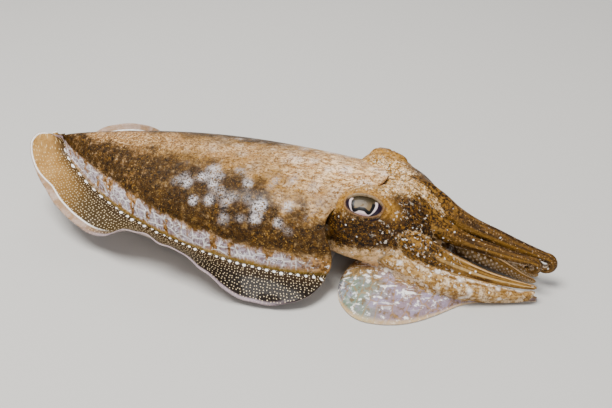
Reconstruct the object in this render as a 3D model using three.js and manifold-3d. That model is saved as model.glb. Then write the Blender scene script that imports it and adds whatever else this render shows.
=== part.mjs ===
// A common cuttlefish, life size, settled on the bottom with its tail a little raised.
// Millimetres. The body axis is X, with the arms towards +X and the tail tip at X = 0 while it is built.
// Y is the animal's left, Z is up, and the floor under the belly is Z = 0.

import * as THREE from 'three';
import { mergeVertices } from 'three/addons/utils/BufferGeometryUtils.js';
import Module from 'manifold-3d';

const wasm = await Module();
wasm.setup();

// Driving dimensions
const MANTLE_LENGTH = 180;
const MANTLE_HALF_WIDTH = 45.6;
const MANTLE_WIDEST = 0.72;
const FRONT_TAPER = 0.11;
const TAIL_HEIGHT = 44.9;
const BACK_HEIGHT = 53.9;
const BACK_HIGHEST = 0.6;
const FIN_ROOT_FRONT_HEIGHT = 10.5;
const BELLY_FLAT_START = 0.5;
const BELLY_DEPTH = 0.9;
const LOBE_LENGTH = 17;
const LOBE_SPREAD = 0.42;
const VENTRAL_NOTCH = 9;
const EYE_NOTCH = 3.6;
const EYE_NOTCH_ANGLE = 0.78;
const EYE_NOTCH_SPREAD = 0.34;
const LIP_DEPTH = 14;
const SECTION_POWER = 2.3;
const GAP = 0.3;
const FIN_CLEARANCE = 0.45;
const FIN_START = 0.001;
const FIN_ROOT_THICKNESS = 2.8;
const FIN_EDGE_THICKNESS = 0.8;
const FIN_CUTS = [0, 0.345, 0.66, 1];
const EYE_CENTRE = new THREE.Vector3(194, 26.4, 49);
const EYE_FACING = new THREE.Vector3(0.1, 0.62, 0.78).normalize();
const EYE_HALF_LENGTH = 11.6;
const EYE_HALF_HEIGHT = 8.2;
const EYE_HALF_DEPTH = 6;
const EYE_SINK = 1.9;
const EYE_TILT = 0.14;
const ORBIT_X = 190.5;
const ORBIT_ANGLE = 0.84;
const ORBIT_BULGE = 10;
const ORBIT_LENGTH = 14;
const ORBIT_WIDTH = 0.44;
const NAPE_DIP = 3.2;
const HEAD_START = 158;
const HEAD_END = 232;
const KEEL_EDGE_THICKNESS = 0.9;
const KEEL_CUT = 236;
const FUNNEL_START = 168;
const FUNNEL_TIP = 208;
const FUNNEL_BORE = 3.4;

// Facets of each shape
const MANTLE_RINGS = 28;
const MANTLE_SIDES = 24;
const FIN_ROWS = 3;
const HEAD_RINGS = 16;
const HEAD_SIDES = 22;
const ARM_SIDES = 8;
const ARM_RINGS_PER_STATION = 2;
const FLAP_SIDES = 12;
const EYE_SIDES = 14;
const EYE_BANDS = 9;

// Finishes
const SKIN = { colour: 0xa5835c, roughness: 0.45, metalness: 0 };
const FIN_SKIN = { colour: 0x8f7440, roughness: 0.4, metalness: 0 };
const PALE_SKIN = { colour: 0xc9b9ae, roughness: 0.4, metalness: 0 };
const EYE = { colour: 0x4c463a, roughness: 0.12, metalness: 0 };

const RIGHT = -1;
const LEFT = 1;

const clamp = THREE.MathUtils.clamp;
const lerp = THREE.MathUtils.lerp;

function smooth(value, low, high) {
  return THREE.MathUtils.smoothstep(value, low, high);
}

function bell(value, centre, spread) {
  return Math.exp(-(((value - centre) / spread) ** 2));
}

// A smooth curve through a few stations, each [position, value, value, ...]
function profile(stations) {
  const slopes = stations.map((station, i) => station.slice(1).map((value, k) => {
    const before = stations[Math.max(i - 1, 0)];
    const after = stations[Math.min(i + 1, stations.length - 1)];
    return (after[k + 1] - before[k + 1]) / (after[0] - before[0]);
  }));
  return (position) => {
    const last = stations.length - 2;
    let i = 0;
    while (i < last && position > stations[i + 1][0]) i += 1;
    const [from, to] = [stations[i], stations[i + 1]];
    const span = to[0] - from[0];
    const t = clamp((position - from[0]) / span, 0, 1);
    const [a, b] = [t * t * (3 - 2 * t), t * (1 - t) * (1 - t)];
    const c = t * t * (t - 1);
    return from.slice(1).map((value, k) => (
      value + a * (to[k + 1] - value) + span * (b * slopes[i][k] + c * slopes[i + 1][k])
    ));
  };
}

// A closed body from rings of equal count, with a fan over each end
function loft(rings) {
  const sides = rings[0].length;
  const positions = rings.flat().flatMap((point) => point.toArray());
  const index = [];
  for (let ring = 0; ring < rings.length - 1; ring += 1) {
    for (let side = 0; side < sides; side += 1) {
      const next = (side + 1) % sides;
      const [a, b] = [ring * sides + side, ring * sides + next];
      const [c, d] = [a + sides, b + sides];
      index.push(a, b, c, b, d, c);
    }
  }
  [0, rings.length - 1].forEach((ring) => {
    const middle = rings[ring].reduce((sum, point) => sum.add(point), new THREE.Vector3());
    positions.push(...middle.divideScalar(sides).toArray());
    const centre = positions.length / 3 - 1;
    for (let side = 0; side < sides; side += 1) {
      const [a, b] = [ring * sides + side, ring * sides + (side + 1) % sides];
      index.push(...(ring === 0 ? [centre, b, a] : [centre, a, b]));
    }
  });
  const geometry = new THREE.BufferGeometry();
  geometry.setAttribute('position', new THREE.Float32BufferAttribute(positions, 3));
  geometry.setIndex(index);
  return faceOutwards(geometry);
}

function signedVolume(geometry) {
  const position = geometry.getAttribute('position');
  const index = geometry.getIndex().array;
  const [a, b, c] = [new THREE.Vector3(), new THREE.Vector3(), new THREE.Vector3()];
  let volume = 0;
  for (let i = 0; i < index.length; i += 3) {
    a.fromBufferAttribute(position, index[i]);
    b.fromBufferAttribute(position, index[i + 1]);
    c.fromBufferAttribute(position, index[i + 2]);
    volume += a.dot(b.cross(c)) / 6;
  }
  return volume;
}

function faceOutwards(geometry) {
  if (signedVolume(geometry) < 0) {
    const index = geometry.getIndex().array;
    for (let i = 0; i < index.length; i += 3) {
      [index[i + 1], index[i + 2]] = [index[i + 2], index[i + 1]];
    }
  }
  return geometry;
}

// Cutting and joining
function bareCopy(geometry) {
  const copy = geometry.clone();
  copy.deleteAttribute('normal');
  copy.deleteAttribute('uv');
  return mergeVertices(copy, 1e-4);
}

function toSolid(geometry) {
  const merged = bareCopy(geometry);
  return new wasm.Manifold(new wasm.Mesh({
    numProp: 3,
    vertProperties: new Float32Array(merged.getAttribute('position').array),
    triVerts: new Uint32Array(merged.getIndex().array),
  }));
}

function fromSolid(solid) {
  const mesh = solid.getMesh();
  const geometry = new THREE.BufferGeometry();
  geometry.setAttribute('position', new THREE.Float32BufferAttribute(mesh.vertProperties, 3));
  geometry.setIndex([...mesh.triVerts]);
  return geometry;
}

// What is left of a body outside its neighbours, without the loose slivers of the cut
function carve(geometry, neighbours) {
  let solid = toSolid(geometry);
  neighbours.forEach((neighbour) => {
    solid = solid.subtract(toSolid(neighbour));
  });
  const pieces = solid.decompose().map((piece) => fromSolid(piece));
  return pieces.reduce((best, piece) => (signedVolume(piece) > signedVolume(best) ? piece : best));
}

// Mantle
function mantleHalfWidth(s) {
  if (s < MANTLE_WIDEST) {
    return MANTLE_HALF_WIDTH * (1 - ((MANTLE_WIDEST - s) / MANTLE_WIDEST) ** 2.04) ** 1.02;
  }
  return MANTLE_HALF_WIDTH * (1 - FRONT_TAPER * ((s - MANTLE_WIDEST) / (1 - MANTLE_WIDEST)) ** 2);
}

function finRootHeight(s) {
  return TAIL_HEIGHT + (FIN_ROOT_FRONT_HEIGHT - TAIL_HEIGHT) * clamp(s / 0.95, 0, 1) ** 0.3;
}

function backHeight(s) {
  const rise = s < BACK_HIGHEST
    ? (1 - ((BACK_HIGHEST - s) / BACK_HIGHEST) ** 2) ** 0.62
    : 1 - 0.1 * ((s - BACK_HIGHEST) / (1 - BACK_HIGHEST)) ** 2;
  return TAIL_HEIGHT + (BACK_HEIGHT - TAIL_HEIGHT) * rise;
}

function bellyHeight(s) {
  const root = finRootHeight(s);
  const drop = smooth(s, 0, BELLY_FLAT_START) ** 0.62;
  return lerp(root, Math.min(root, -BELLY_DEPTH), drop) + 3 * smooth(s, 0.88, 1);
}

// The angle runs from the middle of the back over the right side to the belly and round
function mantlePoint(s, angle) {
  const [sine, cosine] = [Math.sin(angle), Math.cos(angle)];
  const root = finRootHeight(s);
  const reach = cosine >= 0 ? backHeight(s) - root : root - bellyHeight(s);
  const lobe = LOBE_LENGTH * Math.exp(-((Math.asin(clamp(sine, -1, 1)) / LOBE_SPREAD) ** 2));
  const fromBack = Math.abs(((angle + Math.PI) % (2 * Math.PI)) - Math.PI);
  const front = (cosine >= 0 ? lobe : 0)
    - VENTRAL_NOTCH * smooth(-cosine, -0.3, 0.45)
    - EYE_NOTCH * bell(fromBack, EYE_NOTCH_ANGLE, EYE_NOTCH_SPREAD);
  const y = -mantleHalfWidth(s) * Math.sign(sine) * Math.abs(sine) ** (2 / SECTION_POWER);
  const z = root + Math.sign(cosine) * reach * Math.abs(cosine) ** (2 / SECTION_POWER);
  const x = MANTLE_LENGTH * s + (2 + front) * smooth(s, 0.6, 1);
  return new THREE.Vector3(x, y, Math.max(z, 0));
}

function mantleStation(i) {
  return (i / MANTLE_RINGS) ** 1.35;
}

function mantleRing(s) {
  return Array.from({ length: MANTLE_SIDES }, (_, i) => (
    mantlePoint(s, (2 * Math.PI * i) / MANTLE_SIDES)
  ));
}

function mantleGeometry() {
  const rings = [];
  for (let i = 1; i <= MANTLE_RINGS; i += 1) rings.push(mantleRing(mantleStation(i)));
  const middle = new THREE.Vector3(0, 0, (backHeight(1) + bellyHeight(1)) / 2);
  const inner = (scale, depth) => mantleRing(1).map((point) => new THREE.Vector3(
    point.x - depth,
    point.y * scale,
    middle.z + (point.z - middle.z) * scale,
  ));
  rings.push(inner(0.95, 0.4), inner(0.88, LIP_DEPTH));
  return loft(rings);
}

// Head, with the neck at its back inside the mantle opening
const headProfile = profile([
  // x, half width, crown height, throat height
  [158, 23, 38, 16],
  [168, 27, 42, 13],
  [178, 30, 45.5, 11],
  [188, 31.5, 49, 9],
  [198, 31.5, 51, 8],
  [208, 29, 52, 7.5],
  [217, 25, 50.5, 8.5],
  [226, 18, 44, 12],
  [232, 9, 36, 19],
]);

function headPoint(x, angle, grow = 0) {
  const [halfWidth, crown, throat] = headProfile(x);
  const [sine, cosine] = [Math.sin(angle), Math.cos(angle)];
  const middle = (crown + throat) / 2;
  const power = 2 / 2.5;
  const y = -halfWidth * Math.sign(sine) * Math.abs(sine) ** power;
  const z = ((crown - throat) / 2) * Math.sign(cosine) * Math.abs(cosine) ** power;
  const out = new THREE.Vector3(0, y, z).normalize();
  const turn = Math.abs(Math.atan2(y, z));
  const orbit = ORBIT_BULGE * bell(x, ORBIT_X, ORBIT_LENGTH) * bell(turn, ORBIT_ANGLE, ORBIT_WIDTH);
  const nape = NAPE_DIP * bell(y, 0, 11) * smooth(z, 0, 10) * (1 - smooth(x, 200, 214));
  return new THREE.Vector3(x, y, middle + z - nape).addScaledVector(out, orbit + grow);
}

function headGeometry(grow = 0) {
  const [start, end] = [HEAD_START - grow, HEAD_END + grow];
  const rings = Array.from({ length: HEAD_RINGS + 1 }, (_, i) => {
    const x = lerp(start, end, i / HEAD_RINGS);
    return Array.from({ length: HEAD_SIDES }, (__, k) => (
      headPoint(x, (2 * Math.PI * (k + 0.5)) / HEAD_SIDES, grow)
    ));
  });
  return loft(rings);
}

// Eyes
function eyeGeometry(side, grow = 0) {
  const geometry = new THREE.SphereGeometry(1, EYE_SIDES, EYE_BANDS);
  const facing = EYE_FACING.clone();
  const long = new THREE.Vector3(1, 0, -EYE_TILT);
  long.addScaledVector(facing, -long.dot(facing)).normalize();
  const across = new THREE.Vector3().crossVectors(facing, long);
  const placed = new THREE.Matrix4().makeBasis(
    long.multiplyScalar(EYE_HALF_LENGTH + grow),
    across.multiplyScalar(EYE_HALF_HEIGHT + grow),
    facing.clone().multiplyScalar(EYE_HALF_DEPTH + grow),
  );
  placed.setPosition(EYE_CENTRE.clone().addScaledVector(facing, -EYE_SINK));
  geometry.applyMatrix4(placed);
  if (side === RIGHT) geometry.scale(1, -1, 1);
  return faceOutwards(bareCopy(geometry));
}

// Fins: width, lift above level and sweep towards the head in degrees, along the root
const rightFinProfile = profile([
  [0, 12, 42, -42],
  [0.005, 19, 28, -30],
  [0.015, 23, 15, -23],
  [0.05, 23.5, 7, -20],
  [0.1, 24.5, 2, -20],
  [0.18, 25.7, -5, -19],
  [0.27, 24.6, -13, -19],
  [0.34, 20.5, -14, -14],
  [0.4, 18.5, 25, 5],
  [0.5, 18, 30, 14],
  [0.6, 18, 22, 14],
  [0.68, 19, 0, 10],
  [0.76, 20.5, -24, 9],
  [0.85, 20, -23, 13],
  [0.92, 15.5, -16, 17],
  [0.965, 8, -12, 22],
  [0.99, 2, -10, 26],
]);
const leftFinProfile = profile([
  [0, 12, 10, -55],
  [0.005, 18, 2, -42],
  [0.03, 23, -5, -32],
  [0.1, 25, 6, -24],
  [0.17, 26.5, 30, -18],
  [0.24, 26, 31, -12],
  [0.33, 24, 4, -3],
  [0.44, 21, -12, 5],
  [0.54, 19, 4, 8],
  [0.64, 18.5, 20, 9],
  [0.74, 19.5, 2, 9],
  [0.84, 20, -22, 12],
  [0.92, 15.5, -15, 17],
  [0.965, 8, -11, 22],
  [0.99, 2, -10, 26],
]);

function finRootPoint(s, side) {
  const point = mantlePoint(s, Math.PI / 2);
  return new THREE.Vector3(point.x, side * Math.abs(point.y), point.z);
}

function finFrame(s, side) {
  const step = 0.004;
  const along = finRootPoint(Math.min(s + step, 1), side).sub(finRootPoint(Math.max(s - step, 0), side));
  along.z = 0;
  along.normalize();
  const outward = new THREE.Vector3(-side * along.y, side * along.x, 0);
  return { along, outward };
}

function finPoint(s, v, half, side) {
  const [width, lift, sweep] = (side === RIGHT ? rightFinProfile : leftFinProfile)(s);
  const { along, outward } = finFrame(s, side);
  const [rise, turn] = [THREE.MathUtils.degToRad(lift), THREE.MathUtils.degToRad(sweep)];
  const level = outward.clone().multiplyScalar(Math.cos(turn)).addScaledVector(along, Math.sin(turn));
  const bend = rise * v ** 0.6;
  const ray = level.clone().multiplyScalar(Math.cos(bend));
  ray.z += Math.sin(bend);
  const upward = level.clone().multiplyScalar(-Math.sin(bend));
  upward.z += Math.cos(bend);
  const thickness = lerp(FIN_ROOT_THICKNESS, FIN_EDGE_THICKNESS, v ** 0.7) * smooth(width, -4, 8);
  return finRootPoint(s, side)
    .addScaledVector(outward, FIN_CLEARANCE)
    .addScaledVector(ray, width * v)
    .addScaledVector(upward, half * thickness / 2);
}

function finGeometry(side, from, to) {
  const rings = [];
  for (let i = 1; i <= MANTLE_RINGS; i += 1) {
    const s = mantleStation(i);
    if (s > from && s < to) rings.push(finRing(s, side));
  }
  const first = [finRing(from === 0 ? FIN_START : from + GAP / 2 / MANTLE_LENGTH, side)];
  const last = to === 1 ? [] : [finRing(to - GAP / 2 / MANTLE_LENGTH, side)];
  return loft([...first, ...rings, ...last]);
}

function finRing(s, side) {
  const upper = Array.from({ length: FIN_ROWS + 1 }, (_, k) => finPoint(s, k / FIN_ROWS, 1, side));
  const lower = Array.from({ length: FIN_ROWS + 1 }, (_, k) => finPoint(s, 1 - k / FIN_ROWS, -1, side));
  return [...upper, ...lower];
}

// Arms: each station is x, distance from the mid plane, height, radius
const ARM_ROUTES = {
  right_1: [
    [212, -8, 42, 8.6],
    [224, -8.5, 35.5, 7.4],
    [236, -8, 29.6, 5.4],
    [247, -7.4, 25.8, 3.9],
    [259, -7, 23.4, 3.3],
    [270, -7, 21.7, 2.8],
    [277, -7, 20.9, 2.5],
  ],
  left_1: [
    [212, 6.5, 42.5, 9],
    [224, 5.5, 37.4, 8.4],
    [236, 4.4, 31.6, 6.6],
    [247, 3.6, 27.8, 5.4],
    [259, 3, 24.9, 4.6],
    [272, 2.5, 21.6, 3.6],
    [284, 2, 19, 2.8],
  ],
  right_2: [
    [210, -18, 34, 8.4],
    [222, -20.5, 27.5, 7.2],
    [236, -20, 21, 5.4],
    [247, -18.3, 16.6, 4.3],
    [258, -16.6, 13, 3.3],
    [268, -15.2, 11, 2.5],
    [277, -14.2, 9.9, 1.8],
    [284, -13.5, 9.6, 1.1],
  ],
  left_2: [
    [210, 17, 34, 8.4],
    [222, 16, 26.5, 7.2],
    [235, 10.5, 17.5, 5.4],
    [246, 5.5, 12, 4.6],
    [258, 2.8, 9.8, 4],
    [268, 0.8, 7.4, 3],
    [276, 0, 4.8, 2],
    [283, 0, 3.2, 1.2],
  ],
  right_3: [
    [206, -20, 21, 8.8],
    [219, -23.5, 16.5, 7.8],
    [233, -25, 11.8, 7],
    [246, -23.8, 8.4, 5.9],
    [258, -21, 6.6, 4.8],
    [268, -18.4, 5.4, 3.6],
    [277, -16.2, 5.2, 2.3],
    [283.5, -14.6, 7.2, 1.2],
  ],
  left_3: [
    [206, 20, 21, 8.8],
    [219, 23, 16, 7.8],
    [233, 21.5, 11, 6.8],
    [246, 17.5, 7.8, 5.6],
    [258, 13.5, 6, 4.6],
    [268, 10, 4.6, 3.4],
    [277, 7.8, 3.2, 2.2],
    [284, 7, 2.6, 1.2],
  ],
};

// A tip that curls down and back: its middle, start radius, turns and end radius
const CURLS = {
  right_1: { middle: [279.8, 17.6], radius: 3.2, turns: 0.62, tip: 1.4 },
  left_1: { middle: [286, 14.6], radius: 4.1, turns: 0.62, tip: 2 },
};

function armRoute(name) {
  const route = ARM_ROUTES[name].map((station) => [...station]);
  const curl = CURLS[name];
  if (!curl) return route;
  const [, y, , radius] = route[route.length - 1];
  const steps = Math.ceil(curl.turns * 10);
  for (let i = 1; i <= steps; i += 1) {
    const t = i / steps;
    const angle = Math.PI / 2 - 2 * Math.PI * curl.turns * t;
    const reach = curl.radius * lerp(1, 0.72, t);
    const [x, z] = [curl.middle[0] + reach * Math.cos(angle), curl.middle[1] + reach * Math.sin(angle)];
    route.push([x, y, z, lerp(radius, curl.tip, t)]);
  }
  return route;
}

function armGeometry(name, from, to, grow = 0) {
  const route = armRoute(name);
  const curve = new THREE.CatmullRomCurve3(
    route.map(([x, y, z]) => new THREE.Vector3(x, y, z)),
    false,
    'centripetal',
  );
  const last = route.length - 1;
  const radiusAt = profile(route.map((station, i) => [i / last, station[3]]));
  const steps = Math.max(3, Math.round((to - from) * ARM_RINGS_PER_STATION));
  const rings = Array.from({ length: steps + 1 }, (_, i) => {
    const t = lerp(from, to, i / steps) / last;
    return armRing(curve.getPoint(t), curve.getTangent(t), radiusAt(t)[0] + grow);
  });
  return loft(rings);
}

function armRing(centre, tangent, radius) {
  const across = new THREE.Vector3(0, 1, 0).addScaledVector(tangent, -tangent.y).normalize();
  const upward = new THREE.Vector3().crossVectors(tangent, across);
  return Array.from({ length: ARM_SIDES }, (_, k) => {
    const angle = (2 * Math.PI * (k + 0.5)) / ARM_SIDES;
    return centre.clone()
      .addScaledVector(across, radius * Math.cos(angle))
      .addScaledVector(upward, radius * Math.sin(angle));
  });
}

// Lowest arms, each with a broad keel that lies on the floor
const RIGHT_KEEL = [
  // x, inner edge, outer edge, core distance, core height
  [183.5, 26, 35, 30, 3.5],
  [186, 18, 42.5, 27, 8],
  [190, 12, 48.5, 24, 11],
  [196, 8, 54, 22, 13],
  [203, 6, 56.4, 20, 14],
  [211, 6, 56, 19, 13.5],
  [220, 6.5, 53.4, 18.5, 12.5],
  [229, 8, 48, 18, 11],
  [238, 9.5, 39.5, 17.5, 9],
  [248, 10.5, 28.5, 17, 7.4],
  [258, 10.6, 22.5, 16, 5.8],
  [270, 9.6, 18, 14, 4.2],
  [280, 9, 14.4, 12, 2.8],
  [285, 10, 13, 11.6, 1.8],
];
const LEFT_KEEL = [
  [185, 26, 34, 30, 3.5],
  [188, 18, 41, 27, 8],
  [192, 12, 46, 24, 11],
  [198, 8, 50, 22, 13],
  [205, 6, 52, 20, 14],
  [213, 6, 51.5, 19.5, 13.5],
  [222, 8, 49, 20, 12],
  [231, 11, 44.5, 21.5, 10],
  [240, 14, 38, 22.5, 7.6],
  [250, 16.5, 31, 22.5, 6],
  [260, 16, 25.5, 20, 4.6],
  [270, 14.6, 20.5, 17, 3.4],
  [277, 14, 17.4, 15.6, 2.2],
  [281, 14, 16.4, 15.2, 1.6],
];
const rightKeelProfile = profile(RIGHT_KEEL);
const leftKeelProfile = profile(LEFT_KEEL);
function keelHeight(y, inner, outer, core, top) {
  const t = y > core ? (y - core) / (outer - core) : (core - y) / (core - inner);
  const shoulder = y > core ? (1 - clamp(t, 0, 1) ** 1.5) ** 0.9 : Math.sqrt(1 - clamp(t, 0, 1) ** 2 * 0.75);
  return Math.max(KEEL_EDGE_THICKNESS, top * shoulder);
}

function keelRing(x, side) {
  const [inner, outer, core, top] = (side === RIGHT ? rightKeelProfile : leftKeelProfile)(x);
  const half = FLAP_SIDES / 2;
  const upper = Array.from({ length: half + 1 }, (_, k) => {
    const y = lerp(inner, outer, k / half);
    return new THREE.Vector3(x, side * y, keelHeight(y, inner, outer, core, top));
  });
  const lower = Array.from({ length: half - 1 }, (_, k) => {
    const y = lerp(outer, inner, (k + 0.5) / (half - 1));
    return new THREE.Vector3(x, side * y, 0);
  });
  return [...upper, ...lower];
}

function keelGeometry(side, from, to) {
  const count = Math.max(4, Math.round((to - from) / 4.5));
  const rings = Array.from({ length: count + 1 }, (_, i) => keelRing(lerp(from, to, i / count), side));
  return loft(rings);
}

// Funnel under the head, open to the front
function funnelGeometry(grow = 0) {
  const length = FUNNEL_TIP - FUNNEL_START;
  const outline = [
    new THREE.Vector2(0, -grow),
    new THREE.Vector2(6 + grow, -grow),
    new THREE.Vector2(6.4 + grow, length * 0.35),
    new THREE.Vector2(5 + grow, length * 0.75),
    new THREE.Vector2(4.3 + grow, length + grow),
  ];
  const mouth = grow > 0 ? [] : [
    new THREE.Vector2(FUNNEL_BORE, length),
    new THREE.Vector2(FUNNEL_BORE - 0.4, length - 12),
  ];
  const end = new THREE.Vector2(0, grow > 0 ? length + grow : length - 13);
  const geometry = new THREE.LatheGeometry([...outline, ...mouth, end], 14);
  geometry.rotateZ(-Math.PI / 2);
  geometry.scale(1, 1, 0.82);
  geometry.rotateY(0.02);
  geometry.translate(FUNNEL_START, 0, 6.6);
  return faceOutwards(bareCopy(geometry));
}

// Assembly
const model = new THREE.Group();

function addPart(name, geometry, finish) {
  const material = new THREE.MeshStandardMaterial({
    color: finish.colour,
    roughness: finish.roughness,
    metalness: finish.metalness,
  });
  const mesh = new THREE.Mesh(geometry, material);
  mesh.name = name;
  model.add(mesh);
}

const sides = [['right', RIGHT], ['left', LEFT]];
const grownHead = headGeometry(GAP);
const grownFunnel = funnelGeometry(GAP);
const grownEyes = sides.map(([, side]) => eyeGeometry(side, GAP));

addPart('mantle', carve(mantleGeometry(), [grownHead, grownFunnel, ...grownEyes]), SKIN);
addPart('head', carve(headGeometry(), [...grownEyes, grownFunnel]), SKIN);
addPart('funnel', funnelGeometry(), PALE_SKIN);

sides.forEach(([name, side]) => {
  addPart(`eye_${name}`, eyeGeometry(side), EYE);
  ['rear', 'middle', 'front'].forEach((part, i) => {
    addPart(`fin_${name}_${part}`, finGeometry(side, FIN_CUTS[i], FIN_CUTS[i + 1]), FIN_SKIN);
  });
});

// Where each arm is parted, in stations of its route
const ARM_CUTS = { 1: [2.5, 5], 2: [3.5], 3: [3.5] };
const ARM_PARTS = { 1: ['base', 'middle', 'curl'], 2: ['base', 'tip'], 3: ['base', 'tip'] };
const ARM_CUT_GAP = 0.03;

sides.forEach(([name, side]) => {
  const done = [grownHead, ...grownEyes, grownFunnel];
  [3, 2, 1].forEach((pair) => {
    const route = `${name}_${pair}`;
    const last = armRoute(route).length - 1;
    ARM_PARTS[pair].forEach((part, i) => {
      const from = i === 0 ? 0 : ARM_CUTS[pair][i - 1] + ARM_CUT_GAP / 2;
      const to = i === ARM_CUTS[pair].length ? last : ARM_CUTS[pair][i] - ARM_CUT_GAP / 2;
      addPart(`arm_${route}_${part}`, carve(armGeometry(route, from, to), done), SKIN);
    });
    done.push(armGeometry(route, 0, last, GAP));
  });
  const stations = side === RIGHT ? RIGHT_KEEL : LEFT_KEEL;
  const keels = [
    ['base', stations[0][0], KEEL_CUT - GAP / 2],
    ['tip', KEEL_CUT + GAP / 2, stations[stations.length - 1][0]],
  ];
  keels.forEach(([part, from, to]) => {
    addPart(`arm_${name}_4_${part}`, carve(keelGeometry(side, from, to), done), PALE_SKIN);
  });
});

// The origin goes to the middle of the whole, on the floor
const extent = new THREE.Box3().setFromObject(model);
const centre = extent.getCenter(new THREE.Vector3());
model.children.forEach((mesh) => {
  mesh.position.set(-centre.x, -centre.y, -extent.min.z);
});

export default model;
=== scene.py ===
"""A common cuttlefish, life size, settled on the bottom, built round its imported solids."""

import logging
import math
from dataclasses import dataclass
from enum import Enum
from functools import cached_property
from typing import Any, Callable, Sequence

import bpy
import numpy as np
from mathutils import Matrix, Vector
from mathutils.kdtree import KDTree


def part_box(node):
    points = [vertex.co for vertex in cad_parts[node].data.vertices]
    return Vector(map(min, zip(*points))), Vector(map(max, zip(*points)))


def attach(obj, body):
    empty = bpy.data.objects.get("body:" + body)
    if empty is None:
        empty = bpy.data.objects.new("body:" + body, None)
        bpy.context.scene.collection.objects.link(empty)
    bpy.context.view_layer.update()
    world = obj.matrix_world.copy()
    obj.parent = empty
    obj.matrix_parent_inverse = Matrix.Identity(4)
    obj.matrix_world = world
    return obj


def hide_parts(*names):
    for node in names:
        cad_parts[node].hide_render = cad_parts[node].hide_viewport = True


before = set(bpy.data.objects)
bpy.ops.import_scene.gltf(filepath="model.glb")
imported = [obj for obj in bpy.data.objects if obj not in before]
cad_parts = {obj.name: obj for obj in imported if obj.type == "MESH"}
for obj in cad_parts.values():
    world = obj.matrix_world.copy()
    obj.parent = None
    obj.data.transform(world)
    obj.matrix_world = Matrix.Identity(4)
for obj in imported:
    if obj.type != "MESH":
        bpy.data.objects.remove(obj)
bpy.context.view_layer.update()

LOG = logging.getLogger("cuttlefish")
MM = 0.001
TAU = 2.0 * math.pi
BODY = "root"
Array = np.ndarray


class Side(Enum):
    """The animal's two sides, as the sign of Y."""

    RIGHT = -1
    LEFT = 1

    @property
    def word(self) -> str:
        """The side's name in node names."""
        return self.name.lower()


class Slot(Enum):
    """The record's material slots."""

    SKIN = "skin"
    EYE = "eye"
    PALE = "pale_skin"


def smooth(value: Any, low: float, high: float) -> Any:
    """A smooth step from 0 at low to 1 at high."""
    t = np.clip((value - low) / (high - low), 0.0, 1.0)
    return t * t * (3.0 - 2.0 * t)


def bell(value: Any, centre: float, spread: float) -> Any:
    """A bell curve of height 1."""
    return np.exp(-(((value - centre) / spread) ** 2))


def unit(vectors: Array) -> Array:
    """Vectors scaled to length 1 along the last axis."""
    return vectors / np.maximum(np.linalg.norm(vectors, axis=-1, keepdims=True), 1e-12)


def signed_power(value: Array, power: float) -> Array:
    """A power that keeps the sign."""
    return np.sign(value) * np.abs(value) ** power


def grid(*columns: Any) -> Array:
    """Columns of numbers, spread to one shape and set side by side on a last axis."""
    return np.stack(np.broadcast_arrays(*columns), axis=-1)


def around(count: int) -> Array:
    """Evenly spaced angles of a full turn."""
    return np.arange(count) * TAU / count


def new_object(name: str, points: Any, faces: Sequence[Sequence[int]]) -> bpy.types.Object:
    """Makes a mesh object from points and faces and puts it in the scene."""
    mesh = bpy.data.meshes.new(name)
    mesh.from_pydata(points, [], faces)
    mesh.update()
    made = bpy.data.objects.new(name, mesh)
    bpy.context.scene.collection.objects.link(made)
    return made


def write_points(thing: bpy.types.Object, points: Array) -> None:
    """Writes an object's points, in metres, and smooths its shading."""
    thing.data.vertices.foreach_set("co", points.astype(np.float32).ravel())
    thing.data.polygons.foreach_set("use_smooth", [True] * len(thing.data.polygons))
    thing.data.update()


def store(thing: bpy.types.Object, name: str, values: Array) -> None:
    """Stores a vector for each point, for the finish to read."""
    layer = thing.data.attributes.new(name, "FLOAT_VECTOR", "POINT")
    layer.data.foreach_set("vector", values.astype(np.float32).ravel())


def nearest(cloud: Array, points: Array) -> tuple[Array, Array]:
    """For each point, the number of the nearest point of a cloud and how far it is."""
    tree = KDTree(len(cloud))
    for i, point in enumerate(cloud.tolist()):
        tree.insert(point, i)
    tree.balance()
    found = [tree.find(point) for point in points.tolist()]
    return np.array([hit[1] for hit in found]), np.array([hit[2] for hit in found])


@dataclass(frozen=True)
class Profile:
    """A smooth curve through a few stations, each (position, value, value, ...)."""

    stations: Sequence[Sequence[float]]

    def __call__(self, positions: Any) -> Array:
        """Reads the curve.

        Args:
            positions: where to read it, of any shape.

        Returns:
            The values, with one more axis than the positions.
        """
        table = np.asarray(self.stations, float)
        at, values = table[:, 0], table[:, 1:]
        ahead = np.minimum(np.arange(len(at)) + 1, len(at) - 1)
        behind = np.maximum(np.arange(len(at)) - 1, 0)
        slopes = (values[ahead] - values[behind]) / (at[ahead] - at[behind])[:, None]
        where = np.atleast_1d(np.asarray(positions, float))
        i = np.clip(np.searchsorted(at, where, side="left") - 1, 0, len(at) - 2)
        span = at[i + 1] - at[i]
        t = np.clip((where - at[i]) / span, 0.0, 1.0)
        rise = (t * t * (3 - 2 * t))[..., None]
        leave = (span * t * (1 - t) ** 2)[..., None]
        arrive = (span * t * t * (t - 1))[..., None]
        out = values[i] + rise * (values[i + 1] - values[i]) + leave * slopes[i] + arrive * slopes[i + 1]
        return out if np.ndim(positions) else out[0]


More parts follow.
